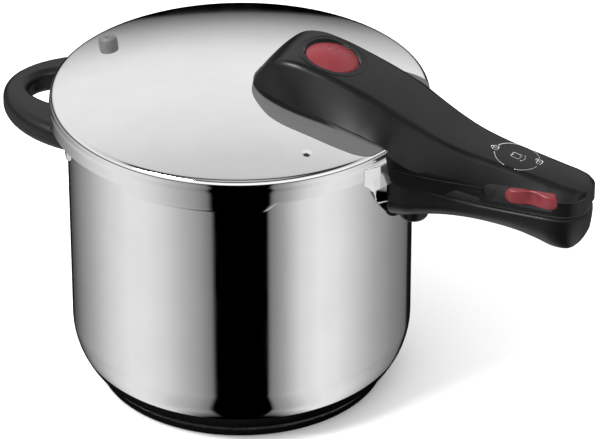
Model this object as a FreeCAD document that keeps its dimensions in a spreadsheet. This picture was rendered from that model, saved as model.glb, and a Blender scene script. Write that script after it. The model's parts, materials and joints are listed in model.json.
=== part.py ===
import FreeCAD, Part
import math
import os
import Sketcher
from FreeCAD import Vector

# Stove-top pressure cooker, 22 cm inside diameter, closed and standing on its base.
# Millimetres. Origin: centre of the underside of the base. +Z up, +X along the long handle.

doc = FreeCAD.newDocument("pressure_cooker")
sheet = doc.addObject("Spreadsheet::Sheet", "Sizes")

X_AXIS = Vector(1, 0, 0)
Y_AXIS = Vector(0, 1, 0)
Z_AXIS = Vector(0, 0, 1)


# ---------------------------------------------------------------------------
# Driving dimensions: each one is a cell of the sheet and a value in this file
# ---------------------------------------------------------------------------

class Size:
    """A number together with the expression that gives it from the sheet."""

    def __init__(self, number, text):
        self.number = number
        self.text = text

    def __float__(self):
        return float(self.number)

    def __add__(self, other):
        other = as_size(other)
        return Size(self.number + other.number, f"({self.text} + {other.text})")

    def __sub__(self, other):
        other = as_size(other)
        return Size(self.number - other.number, f"({self.text} - {other.text})")

    def __mul__(self, other):
        other = as_size(other)
        return Size(self.number * other.number, f"({self.text} * {other.text})")

    def __truediv__(self, other):
        other = as_size(other)
        return Size(self.number / other.number, f"({self.text} / {other.text})")

    def __neg__(self):
        return Size(-self.number, f"(0 - {self.text})")


def as_size(value):
    return value if isinstance(value, Size) else Size(value, f"{value:.6g}")


row_count = 0


def cell(alias, number):
    """Put a driving dimension in the sheet and return it."""
    global row_count
    row_count += 1
    sheet.set(f"A{row_count}", alias.replace("_", " "))
    sheet.set(f"B{row_count}", f"{number:.6g}")
    sheet.setAlias(f"B{row_count}", alias)
    return Size(number, f"Sizes.{alias}")


# pot
pot_radius = cell("pot_radius", 111.2)
sheet_steel = cell("sheet_steel", 1.2)
base_height = cell("base_height", 5.3)
base_radius = cell("base_radius", 94.7)
cap_steel = cell("cap_steel", 0.8)
corner_width = cell("corner_width", 24.5)
corner_rise = cell("corner_rise", 37.0)
corner_small = cell("corner_small", 18.0)
corner_large = cell("corner_large", 49.0)
rim_height = cell("rim_height", 192.0)
rim_radius = cell("rim_radius", 113.4)
# bayonet between pot and lid
lug_radius = cell("lug_radius", 119.4)
lug_low = cell("lug_low", 183.4)
lug_angle = cell("lug_angle", 36.0)
lug_number = cell("lug_number", 4)
claw_radius = cell("claw_radius", 114.3)
claw_low = cell("claw_low", 181.7)
notch_angle = cell("notch_angle", 52.0)
notch_bearing = cell("notch_bearing", 34.6)
notch_round = cell("notch_round", 4.5)
skirt_short = cell("skirt_short", 188.2)
# lid
lid_radius = cell("lid_radius", 122.3)
lid_shoulder = cell("lid_shoulder", 118.6)
lid_edge_height = cell("lid_edge_height", 204.3)
lid_apex = cell("lid_apex", 216.0)
lid_bead_radius = cell("lid_bead_radius", 121.3)
lid_bead_height = cell("lid_bead_height", 201.2)
lid_crease = cell("lid_crease", 196.5)
# gasket
gasket_inner = cell("gasket_inner", 107.2)
gasket_outer = cell("gasket_outer", 119.9)
gasket_low = cell("gasket_low", 192.4)
gasket_height = cell("gasket_height", 5.8)
# pressure signal
signal_place = cell("signal_place", 63.3)
signal_radius = cell("signal_radius", 16.9)
signal_face = cell("signal_face", 239.2)
signal_crown = cell("signal_crown", 4.8)
signal_slope = cell("signal_slope", 11.3)
signal_skirt = cell("signal_skirt", 15.5)
signal_wall = cell("signal_wall", 1.8)
signal_hollow = cell("signal_hollow", 9.5)
# residual-pressure valve in the lid
safety_place = cell("safety_place", 94.5)
safety_bearing = cell("safety_bearing", 175.8)
safety_radius = cell("safety_radius", 6.3)
safety_height = cell("safety_height", 11.2)
# opening slider
slider_start = cell("slider_start", 187.8)
slider_length = cell("slider_length", 34.0)
slider_height = cell("slider_height", 11.0)
slider_centre = cell("slider_centre", 177.4)
slider_travel = cell("slider_travel", 14.0)
slot_clearance = cell("slot_clearance", 0.5)
# handles
handle_wall = cell("handle_wall", 3.0)
side_reach = cell("side_reach", 164.3)
side_half_width = cell("side_half_width", 57.0)


# sizes of small pieces
stem_hole = cell("stem_hole", 5.6)
stem_radius = cell("stem_radius", 3.0)
vent_place = cell("vent_place", 92.0)
vent_hole = cell("vent_hole", 4.6)
safety_hole = cell("safety_hole", 4.6)
ball_radius = cell("ball_radius", 2.5)
boss_radius = cell("boss_radius", 4.2)
pot_clearance = cell("pot_clearance", 113.0)
window_length = cell("window_length", 20.0)
bolt_width = cell("bolt_width", 8.0)
bolt_low = cell("bolt_low", 184.6)
bolt_height = cell("bolt_height", 2.6)


# ---------------------------------------------------------------------------
# Helpers
# ---------------------------------------------------------------------------

PLANES = {"XY": "XY_Plane", "XZ": "XZ_Plane", "YZ": "YZ_Plane"}


def origin_feature(body, role):
    return next(item for item in body.Origin.OriginFeatures if item.Role == role)


def new_body(name):
    body = doc.addObject("PartDesign::Body", name)
    body.Label = name
    return body


def new_sketch(body, name, plane, offset=None):
    sketch = body.newObject("Sketcher::SketchObject", name)
    sketch.AttachmentSupport = [(origin_feature(body, PLANES[plane]), "")]
    sketch.MapMode = "FlatFace"
    if offset is not None:
        sketch.setExpression(".AttachmentOffset.Base.z", offset.text)
    return sketch


def pin(sketch, geometry, point, place):
    """Hold one end of a sketch line or arc at a place given by two sizes."""
    for kind, size in (("DistanceX", place[0]), ("DistanceY", place[1])):
        size = as_size(size)
        if abs(size.number) < 1e-9:
            axis = -2 if kind == "DistanceX" else -1
            sketch.addConstraint(Sketcher.Constraint("PointOnObject", geometry, point, axis))
        else:
            index = sketch.addConstraint(
                Sketcher.Constraint(kind, -1, 1, geometry, point, float(size)))
            sketch.setExpression(f"Constraints[{index}]", size.text)


def flat(place):
    return Vector(float(as_size(place[0])), float(as_size(place[1])), 0)


def arc_centre(start, end, radius, left):
    """Centre of the arc from start to end; left: the centre lies left of the chord."""
    chord = end - start
    half = chord.Length / 2
    height = math.sqrt(max(radius * radius - half * half, 0.0))
    side = Vector(-chord.y, chord.x, 0).normalize()
    return start + chord * 0.5 + side * (height if left else -height)


def outline(sketch, steps):
    """Closed outline. A step is (x, y), or (x, y, radius, left) for an arc that ends there."""
    points = [flat(step) for step in steps]
    for index, step in enumerate(steps):
        start = points[index - 1]
        end = points[index]
        if len(step) == 2:
            sketch.addGeometry(Part.LineSegment(start, end), False)
            continue
        radius = as_size(step[2])
        centre = arc_centre(start, end, radius.number, step[3])
        first = math.atan2(start.y - centre.y, start.x - centre.x)
        last = math.atan2(end.y - centre.y, end.x - centre.x)
        if not step[3]:
            first, last = last, first
        circle = Part.Circle(centre, Z_AXIS, radius.number)
        sketch.addGeometry(Part.ArcOfCircle(circle, first, last), False)
    count = len(steps)
    for index, step in enumerate(steps):
        following = (index + 1) % count
        end_point = 1 if len(step) == 4 and not step[3] else 2
        start_point = 2 if len(steps[following]) == 4 and not steps[following][3] else 1
        sketch.addConstraint(
            Sketcher.Constraint("Coincident", index, end_point, following, start_point))
        pin(sketch, index, end_point, step)
        if len(step) == 4:
            radius = as_size(step[2])
            number = sketch.addConstraint(Sketcher.Constraint("Radius", index, radius.number))
            sketch.setExpression(f"Constraints[{number}]", radius.text)


def revolve(body, name, steps, angle=None):
    """Turn a profile, drawn as radius and height, about the vertical axis."""
    sketch = new_sketch(body, name + "_profile", "XZ")
    outline(sketch, steps)
    feature = body.newObject("PartDesign::Revolution", name)
    feature.Profile = sketch
    feature.ReferenceAxis = (sketch, ["V_Axis"])
    feature.Midplane = True
    if angle is None:
        feature.Angle = 360
    else:
        feature.setExpression("Angle", angle.text)
    doc.recompute()
    return feature


def turned(name, steps, place=None):
    """A turned piece with its own body, standing at a place in the object's frame."""
    body = new_body(name)
    revolve(body, name + "_turn", steps)
    if place is not None:
        body.Placement = FreeCAD.Placement(place, FreeCAD.Rotation())
    return body


def polar(body, feature, count, name):
    pattern = body.newObject("PartDesign::PolarPattern", name)
    pattern.Originals = [feature]
    pattern.Axis = (origin_feature(body, "Z_Axis"), [""])
    pattern.Angle = 360
    pattern.Occurrences = int(count)
    body.Tip = pattern
    doc.recompute()
    return pattern


def formed(name, shape):
    """A moulded piece whose shape is worked out by a function below."""
    feature = doc.addObject("Part::Feature", name)
    feature.Label = name
    feature.Shape = shape.removeSplitter() if shape.ShapeType == "Solid" else shape
    return feature


def ring_solid(points):
    """Solid of revolution about Z from (radius, height) corners."""
    corners = [Vector(r, 0, z) for r, z in points]
    face = Part.Face(Part.makePolygon(corners + corners[:1]))
    return face.revolve(Vector(0, 0, 0), Z_AXIS, 360)


def curve_solid(curve_points, closing_points):
    """Solid of revolution whose profile is a smooth curve closed by straight lines."""
    curve = Part.BSplineCurve()
    curve.interpolate([Vector(r, 0, z) for r, z in curve_points])
    ends = [Vector(r, 0, z) for r, z in [curve_points[-1], *closing_points, curve_points[0]]]
    wire = Part.Wire([curve.toShape(), *Part.makePolygon(ends).Edges])
    return Part.Face(wire).revolve(Vector(0, 0, 0), Z_AXIS, 360)


def rod(radius, start, end):
    """Round bar between two places."""
    axis = end - start
    return Part.makeCylinder(radius, axis.Length, start, axis)


def block(x0, x1, y0, y1, z0, z1):
    return Part.makeBox(x1 - x0, y1 - y0, z1 - z0, Vector(x0, y0, z0))


def coil(name, wire_radius, mean_radius, pitch, length, place, axis):
    """Compression spring: a wire swept along a helix."""
    path = Part.makeHelix(pitch, length, mean_radius)
    circle = Part.makeCircle(wire_radius, Vector(mean_radius, 0, 0), Y_AXIS)
    spring = Part.Wire(path).makePipeShell([Part.Wire([circle])], True, True)
    feature = formed(name, spring)
    feature.Placement = FreeCAD.Placement(place, FreeCAD.Rotation(Z_AXIS, axis))
    return feature


# ---------------------------------------------------------------------------
# Pot: deep-drawn shell with a bayonet rim, sandwich base
# ---------------------------------------------------------------------------

def windowed(body, name):
    """The body with the way of the locking bar cut through it at the long handle."""
    window = doc.addObject("Part::Box", name + "_window")
    half = bolt_width / 2 + 0.5
    window.setExpression("Length", window_length.text)
    window.setExpression("Width", (half * 2).text)
    window.setExpression("Height", (bolt_height + 1).text)
    corner = Vector(float(pot_clearance) + 1, -float(half), float(bolt_low) - 0.5)
    window.Placement = FreeCAD.Placement(corner, FreeCAD.Rotation())
    cut = doc.addObject("Part::Cut", name)
    cut.Base = body
    cut.Tool = window
    cut.Label = name
    doc.recompute()
    return cut


def make_pot():
    """Shell turned so that a lug of its rim stands just past the long handle."""
    body = new_body("pot_shell")
    inner_radius = pot_radius - sheet_steel
    floor = base_height + sheet_steel
    corner_start = pot_radius - corner_width
    # the two corner arcs meet on the line through their centres
    run = float(corner_large) - float(corner_width)
    rise = float(corner_rise) - float(corner_small)
    reach = math.hypot(run, rise)
    meet_x = (corner_large - corner_width) / reach
    meet_z = (corner_rise - corner_small) / reach
    centre_x = pot_radius - corner_large
    centre_z = base_height + corner_rise
    large_inner = corner_large - sheet_steel
    flange = rim_height - sheet_steel
    revolve(body, "pot_wall", [
        (0, floor),
        (0, base_height),
        (corner_start, base_height),
        (centre_x + corner_large * meet_x, centre_z - corner_large * meet_z, corner_small, True),
        (pot_radius, centre_z, corner_large, True),
        (pot_radius, flange),
        (rim_radius, flange),
        (rim_radius, rim_height),
        (inner_radius, rim_height),
        (inner_radius, centre_z),
        (centre_x + large_inner * meet_x, centre_z - large_inner * meet_z, large_inner, False),
        (corner_start, floor, corner_small - sheet_steel, False),
    ])
    lug = revolve(body, "rim_lug", [
        (pot_radius, rim_height),
        (pot_radius, flange),
        (lug_radius - sheet_steel, flange),
        (lug_radius - sheet_steel, lug_low),
        (lug_radius, lug_low),
        (lug_radius, rim_height),
    ], lug_angle)
    polar(body, lug, float(lug_number), "rim_lugs")
    bearing = 180 / float(lug_number) - float(notch_bearing)
    body.Placement = FreeCAD.Placement(Vector(0, 0, 0), FreeCAD.Rotation(Z_AXIS, bearing))
    return windowed(body, "pot_body")


def make_base():
    core_radius = base_radius - cap_steel
    turned("base_core", [
        (0, base_height),
        (0, cap_steel),
        (core_radius - 1.5, cap_steel),
        (core_radius, cap_steel + 1.5, 1.5, True),
        (core_radius, base_height),
    ])
    turned("base_cap", [
        (0, cap_steel),
        (0, 0),
        (base_radius - 2.3, 0),
        (base_radius, 2.3, 2.3, True),
        (base_radius, base_height),
        (core_radius, base_height),
        (core_radius, cap_steel + 1.5),
        (core_radius - 1.5, cap_steel, 1.5, False),
    ])


# ---------------------------------------------------------------------------
# Lid: dome, shoulder, skirt with bayonet claws
# ---------------------------------------------------------------------------

def dome_radius():
    """Radius of the ball that the dome is part of."""
    sag = float(lid_apex) - float(lid_edge_height)
    return (float(lid_shoulder) ** 2 + sag ** 2) / (2 * sag)


def dome_height(radius, rise=0.0):
    """Height of the top of the lid at a radius, raised by rise."""
    ball = dome_radius()
    return float(lid_apex) - ball + math.sqrt(ball ** 2 - radius ** 2) + rise


def dome_solid(rise, fall, radius, low=150.0):
    """Everything under the dome, raised by rise in the middle and by fall less at the radius."""
    steps = [radius * i / 6 for i in range(7)]
    curve = [(r, dome_height(r, rise - fall * (r / radius) ** 2)) for r in steps]
    return curve_solid(curve, [(radius, low), (0, low)])


def make_lid():
    body = new_body("lid_form_body")
    dome = dome_radius()
    inner = dome - float(sheet_steel)
    skirt_inner = lid_radius - sheet_steel
    revolve(body, "lid_form", [
        (0, lid_apex - sheet_steel),
        (lid_shoulder, lid_edge_height - sheet_steel, inner, False),
        (lid_bead_radius - sheet_steel, lid_bead_height, 3.4, False),
        (lid_bead_radius - sheet_steel, lid_crease + 2),
        (skirt_inner, lid_crease - 1),
        (skirt_inner, claw_low + sheet_steel),
        (claw_radius, claw_low + sheet_steel),
        (claw_radius, claw_low),
        (lid_radius, claw_low),
        (lid_radius, lid_crease),
        (lid_bead_radius, lid_crease + 2),
        (lid_bead_radius, lid_bead_height),
        (lid_shoulder, lid_edge_height, 4.2, True),
        (0, lid_apex, dome, True),
    ])
    # the skirt is cut short between the claws
    sketch = new_sketch(body, "notch_profile", "XZ")
    outline(sketch, [
        (claw_radius - 2, claw_low - 2),
        (lid_radius + 4, claw_low - 2),
        (lid_radius + 4, skirt_short),
        (claw_radius - 2, skirt_short),
    ])
    notch = body.newObject("PartDesign::Groove", "notch")
    notch.Profile = sketch
    notch.ReferenceAxis = (sketch, ["V_Axis"])
    notch.setExpression("Angle", notch_angle.text)
    notch.Midplane = True
    doc.recompute()
    polar(body, notch, float(lug_number), "notches")
    base = body.Tip
    names = [f"Edge{i + 1}" for i, edge in enumerate(base.Shape.Edges) if is_notch_corner(edge)]
    corners = body.newObject("PartDesign::Fillet", "notch_corners")
    corners.Base = (base, names)
    corners.setExpression("Radius", notch_round.text)
    body.Tip = corners
    doc.recompute()
    # holes for the signal stem, the vent valve and the residual-pressure valve
    holes = new_sketch(body, "valve_holes", "XY")
    for radius, bearing, hole in (
        (signal_place, 0, stem_hole),
        (vent_place, 0, vent_hole),
        (safety_place, safety_bearing, safety_hole),
    ):
        angle = math.radians(float(as_size(bearing)) + float(notch_bearing))
        place = (radius * math.cos(angle), radius * math.sin(angle))
        index = holes.addGeometry(Part.Circle(flat(place), Z_AXIS, float(hole)), False)
        pin(holes, index, 3, place)
        number = holes.addConstraint(Sketcher.Constraint("Radius", index, float(hole)))
        holes.setExpression(f"Constraints[{number}]", hole.text)
    pocket = body.newObject("PartDesign::Pocket", "valve_pockets")
    pocket.Profile = holes
    pocket.Type = "ThroughAll"
    pocket.Midplane = True
    doc.recompute()
    # the first notch is drawn at +X, and the closed lid stands turned back from there
    body.Placement = FreeCAD.Placement(Vector(0, 0, 0), FreeCAD.Rotation(Z_AXIS, -float(notch_bearing)))
    return windowed(body, "lid_shell")


def is_notch_corner(edge):
    """Short radial edge where the end of a notch meets its top."""
    box = edge.BoundBox
    level = abs(box.ZMin - float(skirt_short)) < 0.01 and box.ZLength < 0.01
    middle = edge.valueAt((edge.FirstParameter + edge.LastParameter) / 2)
    reach = math.hypot(middle.x, middle.y)
    skirt = float(lid_radius) - float(sheet_steel)
    return level and edge.Length < 2 and skirt < reach < float(lid_radius)


def make_gasket():
    """Silicone ring with a lip that rests on the rim of the pot."""
    low = gasket_low
    top = gasket_low + gasket_height
    turned("sealing_gasket", [
        (gasket_inner, top),
        (gasket_inner, low + 1.6),
        (gasket_inner + 1.4, low),
        (gasket_outer, low),
        (gasket_outer, top - 1.2),
        (gasket_outer - 1.6, top),
        (gasket_inner + 3.2, top),
        (gasket_inner + 3.2, low + 2.4),
        (gasket_inner + 1.6, low + 2.4),
        (gasket_inner + 1.6, top),
    ])


# ---------------------------------------------------------------------------
# Residual-pressure valve: silicone body through the lid, steel ball on its seat
# ---------------------------------------------------------------------------

def make_safety_valve():
    angle = math.radians(float(safety_bearing))
    lid_top = dome_height(float(safety_place))
    place = Vector(float(safety_place) * math.cos(angle), float(safety_place) * math.sin(angle), lid_top)
    # the valve stands square to the dome
    lean = math.degrees(math.asin(float(safety_place) / dome_radius()))
    stand = FreeCAD.Rotation(Vector(-math.sin(angle), math.cos(angle), 0), lean)
    head = safety_radius
    stem = safety_hole - 0.35
    turned("residual_valve_body", [
        (ball_radius + 0.45, 0),
        (1.3, 2.6),
        (1.3, safety_height),
        (head - 2.6, safety_height),
        (head - 0.4, safety_height - 2.4, 3.0, True),
        (head, safety_height / 2),
        (head - 0.4, 0.3),
        (stem, 0.3),
        (stem, -sheet_steel - 0.4),
        (stem + 2.2, -sheet_steel - 0.6),
        (stem + 1.2, -sheet_steel - 4.2),
        (ball_radius - 0.5, -sheet_steel - 4.2),
        (ball_radius - 0.5, -sheet_steel - 3.2),
        (ball_radius + 0.45, -sheet_steel - 2.6),
    ]).Placement = FreeCAD.Placement(place, stand)
    ball = doc.addObject("Part::Sphere", "residual_valve_ball")
    ball.Label = "residual_valve_ball"
    ball.setExpression("Radius", ball_radius.text)
    ball.Placement = FreeCAD.Placement(place + stand.multVec(Vector(0, 0, -2.05)), stand)


# ---------------------------------------------------------------------------
# Long handles: both are cut from smooth forms, and part along surfaces of revolution, so that
# the lid handle swings over the pot handle with the same gap everywhere
# ---------------------------------------------------------------------------

# middle of the gap between the handles, and the seam of the lid handle: radius and height
GAP = ((100, 180.5), (112, 180.0), (120, 178.8), (130, 176.4), (142, 173.2), (155, 170.4), (170, 168.4),
       (185, 167.8), (205, 167.8), (235, 167.8), (262, 167.8))
SEAM = ((100, 198.0), (112, 196.6), (124, 192.0), (136, 187.0), (150, 182.8), (165, 180.8), (180, 179.9),
        (205, 179.3), (235, 178.7), (262, 178.2))


def above(knots, rise):
    """Everything above a curve that is turned about the pot's axis."""
    return curve_solid([(r, z + rise) for r, z in knots], [(262, 300), (100, 300)])


def below(knots, rise):
    return curve_solid([(r, z + rise) for r, z in knots], [(262, 100), (100, 100)])


def lid_clearance(rise, fall, low):
    """The space of the lid that handle pieces keep out of."""
    outside = float(lid_radius) + 1.9
    shoulder = float(lid_shoulder)
    edge = dome_height(shoulder, rise - fall)
    skirt = ring_solid([(0, low), (outside, low), (outside, edge - 3.2), (shoulder, edge), (0, edge)])
    return dome_solid(rise, fall, shoulder, low).fuse(skirt)


def handle_section(x, top_width, top, side_width, side, low_width, low, edge):
    """Cross-section of the lid handle: crowned top, rounded edges, bowed sides. Half widths."""
    crown = 0.6
    half = top_width - edge
    right = [
        Vector(x, half, top - crown / 2),
        Vector(x, half + edge * 0.72, top - crown / 2 - edge * 0.3),
        Vector(x, half + edge, top - crown / 2 - edge),
        Vector(x, (half + edge) * 0.42 + side_width * 0.58, (top - edge) * 0.45 + side * 0.55),
        Vector(x, side_width, side),
        Vector(x, low_width, low),
    ]
    left = [Vector(point.x, -point.y, point.z) for point in right]
    edges = [
        Part.Arc(left[0], Vector(x, 0, top), right[0]).toShape(),
        Part.Arc(right[0], right[1], right[2]).toShape(),
        Part.Arc(right[2], right[3], right[4]).toShape(),
        Part.LineSegment(right[4], right[5]).toShape(),
        Part.LineSegment(right[5], left[5]).toShape(),
        Part.LineSegment(left[5], left[4]).toShape(),
        Part.Arc(left[4], left[3], left[2]).toShape(),
        Part.Arc(left[2], left[1], left[0]).toShape(),
    ]
    return Part.Wire(edges)


# distance from the axis, half width and height of the top, half width and height of the seam,
# half width and height of the lower edge, radius of the top edge
LID_HANDLE = (
    (14.0, 12.0, 221.5, 19.0, 217.0, 19.0, 198, 3.0),
    (19.0, 16.0, 228.0, 24.0, 217.0, 24.0, 198, 4.5),
    (26.5, 19.5, 236.0, 28.5, 217.0, 28.5, 198, 5.5),
    (35.0, 22.4, 242.4, 31.3, 217.0, 31.3, 198, 6.0),
    (46.0, 24.2, 244.0, 34.0, 216.0, 34.0, 198, 6.0),
    (62.0, 24.4, 241.2, 37.0, 214.0, 37.0, 198, 6.0),
    (80.0, 23.8, 235.6, 40.0, 211.0, 40.0, 196, 6.0),
    (98.0, 23.0, 229.0, 43.0, 207.0, 43.0, 194, 6.0),
    (116.0, 22.4, 220.6, 44.0, 203.0, 39.5, 183, 6.0),
    (128.0, 21.8, 214.4, 38.5, 192.5, 35.0, 174, 6.0),
    (142.0, 20.7, 207.2, 31.5, 186.0, 30.0, 168, 6.0),
    (158.0, 18.8, 200.8, 26.2, 182.4, 25.2, 164, 6.0),
    (176.0, 16.8, 196.2, 22.8, 180.4, 22.4, 163, 6.0),
    (198.0, 15.2, 191.8, 21.8, 179.6, 21.8, 163, 6.0),
    (216.0, 14.0, 188.0, 21.6, 179.2, 21.6, 163, 6.0),
    (226.5, 13.0, 185.8, 20.2, 178.8, 20.2, 163, 5.5),
    (232.6, 10.6, 184.2, 16.6, 178.6, 16.6, 163, 4.0),
    (236.6, 5.2, 182.2, 9.0, 178.4, 9.0, 163, 2.2),
)


def lid_handle_form(inset):
    """Outer form of the lid handle, or its hollow when inset by the wall."""
    sections = []
    for x, top_width, top, side_width, side, low_width, low, edge in LID_HANDLE:
        if inset:
            edge = max(edge - inset, 0.8)
            x = x + inset * (1 if x < 100 else -1) * (1 if abs(x - 130) > 90 else 0)
        sections.append(handle_section(
            x, top_width - inset, top - inset, side_width - inset, side - inset / 3,
            low_width - inset, low, edge))
    return Part.makeLoft(sections, True, False)


def make_lid_handle():
    """Two shells that meet at a seam; the lower one is the tray of the grip."""
    wall = float(handle_wall)
    form = lid_handle_form(0)
    hollow = lid_handle_form(wall)
    room = lid_clearance(4.9, 3.0, float(claw_low) - 0.7)
    pot_room = ring_solid([(0, 100), (pot_clearance.number, 100), (pot_clearance.number, 230), (0, 230)])
    slot = slider_slot()
    form = form.cut(room).cut(slot)
    # the upper shell, with bosses for its screws
    shell = form.cut(hollow)
    for (x, y, low), hole in zip(HANDLE_SCREWS, screw_holes()):
        boss = Part.makeCylinder(float(boss_radius), 60, Vector(x, y, low + 2.2)).common(form)
        shell = shell.cut(hole).fuse(boss.cut(hole))
    cap_radius = float(signal_radius) + 0.7
    shell = shell.cut(Part.makeCylinder(cap_radius, 60, Vector(float(signal_place), 0, 224)))
    upper = shell.cut(below(SEAM, 0.15))
    formed("lid_handle_top_shell", upper)
    # the lower shell: a tray whose floor is the upper face of the gap
    tray = form.common(below(SEAM, -0.15)).cut(below(GAP, 1.0)).cut(pot_room)
    inside = hollow.cut(below(GAP, 1.0 + wall))
    # a post for the spring of the slider and a rib for the spring of the latch
    stops = block(152, 156, -4, 4, 166, 182.4).fuse(block(171.2, 172.8, 10, 14, 166, 181))
    stops = stops.common(form).cut(below(GAP, 1.5))
    lower = tray.cut(inside).fuse(stops).cut(side_windows())
    for hole in screw_holes():
        lower = lower.cut(hole)
    formed("lid_handle_lower_shell", lower)


HANDLE_SCREWS = ((28.0, 0.0, 216.0), (104.0, 15.0, 207.6), (104.0, -15.0, 207.6), (230.0, 0.0, 170.2))


def screw_solid(x, y, z, length, clearance=0.0):
    """Pan-head screw that points up, with its head's underside at z + 2."""
    head = Part.makeCylinder(3.4 + clearance, 2.0 + clearance, Vector(x, y, z - clearance))
    shaft = Part.makeCylinder(1.75 + clearance, length + clearance, Vector(x, y, z + 2.0))
    return head.fuse(shaft)


def screw_holes():
    return [screw_solid(x, y, low, 11.0, 0.12) for x, y, low in HANDLE_SCREWS]


def make_handle_screws():
    screws = []
    for x, y, low in HANDLE_SCREWS:
        slot = block(x - 3, x + 3, y - 0.5, y + 0.5, low - 1, low + 0.9)
        screws.append(screw_solid(x, y, low, 10.0).cut(slot))
    formed("lid_handle_screws", Part.makeCompound(screws))


# foot of the handle: distance from the axis, half width at the lid, half width at the handle
FOOT = ((12.4, 6.0, 4.0), (14.6, 14.5, 12.0), (20.0, 25.5, 19.0), (27.0, 33.6, 24.0), (37.0, 42.4, 28.0),
        (49.0, 48.0, 32.0), (64.0, 51.2, 35.5), (80.0, 54.0, 39.0), (94.0, 55.4, 41.5), (104.0, 54.6, 42.5),
        (111.0, 50.0, 42.5), (115.6, 43.6, 41.0))


def make_foot():
    """Plate that follows the dome under the handle, and slopes down to a thin border round it."""
    sections = []
    for x, outer, inner in FOOT:
        edge = dome_height(math.hypot(x, outer), 0.7)
        share = math.hypot(x, inner) / float(lid_shoulder)
        ridge = dome_height(math.hypot(x, inner), 3.9 - 3.0 * share ** 2)
        right = [Vector(x, outer, 190), Vector(x, outer, edge), Vector(x, inner, ridge)]
        left = [Vector(point.x, -point.y, point.z) for point in right]
        corners = right + left[::-1]
        sections.append(Part.makePolygon(corners + corners[:1]))
    plate = Part.makeLoft(sections, True, False)
    plate = plate.cut(dome_solid(0.02, 0, float(lid_shoulder), 180.0)).cut(edge_room())
    middle = float(signal_place)
    plate = plate.cut(Part.makeCylinder(float(stem_hole) + 3.4, 60, Vector(middle, 0, 190)))
    plate = plate.cut(Part.makeCylinder(float(vent_hole) + 2.6, 60, Vector(float(vent_place), 0, 190)))
    for hole in screw_holes():
        plate = plate.cut(hole)
    formed("lid_handle_foot", plate)


def edge_room():
    """Room of the rounded edge of the lid and of everything outside it."""
    edge = float(lid_edge_height)
    bead = float(lid_bead_radius)
    return ring_solid([(110, 150), (190, 150), (190, 240), (bead + 0.02, 240), (bead + 0.02, edge - 0.6),
                       (float(lid_shoulder), edge + 0.02), (110, dome_height(110) + 0.02)])


def slider_slot():
    """Slot with round ends through both sides, as long as the slider and its travel."""
    radius = float(slider_height) / 2 + float(slot_clearance)
    x0 = float(slider_start) - float(slider_travel) - float(slot_clearance) + radius
    x1 = float(slider_start) + float(slider_length) + float(slot_clearance) - radius
    z = float(slider_centre)
    body = block(x0, x1, -40, 40, z - radius, z + radius)
    for x in (x0, x1):
        body = body.fuse(rod(radius, Vector(x, -40, z), Vector(x, 40, z)))
    return body


def side_windows():
    """Recess in each flank of the lower shell, open to the gap."""
    corners = [Vector(142, 0, 168.6), Vector(158, 0, 177.2), Vector(171.5, 0, 177.2),
               Vector(171.5, 0, 166.0), Vector(142, 0, 166.0)]
    face = Part.Face(Part.makePolygon(corners + corners[:1]))
    near = face.extrude(Vector(0, 30, 0))
    near.translate(Vector(0, 17.5, 0))
    far = face.extrude(Vector(0, -30, 0))
    far.translate(Vector(0, -17.5, 0))
    return near.fuse(far)


def make_lid_bracket():
    """Steel band welded to the skirt, which the lid handle hooks on to."""
    inner = float(lid_radius) + 0.02
    outer = float(lid_radius) + 1.6
    band = ring_solid([(inner, 182.2), (outer, 182.2), (outer, 194.8), (inner + 0.4, 197.4), (inner, 197.4)])
    width = 52.5
    band = band.common(block(0, 140, -width, width, 150, 230)).cut(bolt_window())
    lip = block(120, 128.4, -9, 9, 184.2, 185.8)
    lip = lip.cut(ring_solid([(0, 150), (inner + 0.4, 150), (inner + 0.4, 230), (0, 230)]))
    formed("lid_handle_bracket", band.fuse(lip).cut(bolt_window()))


def bolt_window():
    """Way of the locking bar through the bracket, the skirt and the lug."""
    half = float(bolt_width) / 2 + 0.5
    low = float(bolt_low) - 0.5
    high = float(bolt_low) + float(bolt_height) + 0.5
    return block(113.6, 140, -half, half, low, high)


def make_slider():
    """Red slider with a finger dish at each end of its link, and the steel locking bar."""
    x0 = float(slider_start)
    x1 = x0 + float(slider_length)
    radius = float(slider_height) / 2
    z = float(slider_centre)
    reach = 24.0
    shape = block(x0 + radius, x1 - radius, -reach, reach, z - radius, z + radius)
    for x in (x0 + radius, x1 - radius):
        shape = shape.fuse(rod(radius, Vector(x, -reach, z), Vector(x, reach, z)))
    # only a link plate is left between the two grips
    shape = shape.cut(block(x0 - 1, x1 + 1, -15, 15, z + 1.6, z + 9))
    shape = shape.cut(block(x0 - 1, x1 + 1, -15, 15, z - 9, z - 1.4))
    for side in (-1, 1):
        dish = Part.makeSphere(16, Vector((x0 + x1) / 2, side * (22.0 + 13.0), z))
        shape = shape.cut(dish)
    formed("opening_slider", shape.common(lid_handle_form(-0.4)).removeSplitter())
    low = float(bolt_low)
    half = float(bolt_width) / 2
    bar = block(126.4, 200, -half, half, low, low + float(bolt_height))
    web = block(190.4, 200, -half, half, z + 1.6, low)
    formed("locking_bar", bar.fuse(web).removeSplitter())


def make_release_latch():
    """Fork in the tray of the grip: its tongue lies under the lip of the bracket, and a finger
    tab hangs in each of the two side recesses."""
    latch = block(126.0, 147.0, -8, 8, 182.0, 183.6).fuse(block(143.0, 147.0, -19.6, 19.6, 177.9, 183.6))
    for side in (-1, 1):
        arm = block(143.0, 166.0, 6.0, 19.6, 177.9, 179.7)
        arm = arm.fuse(block(159.0, 166.0, 18.1, 19.6, 173.6, 179.7))
        latch = latch.fuse(arm if side > 0 else arm.mirror(Vector(0, 0, 0), Y_AXIS))
    formed("handle_release_latch", latch.removeSplitter())


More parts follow.
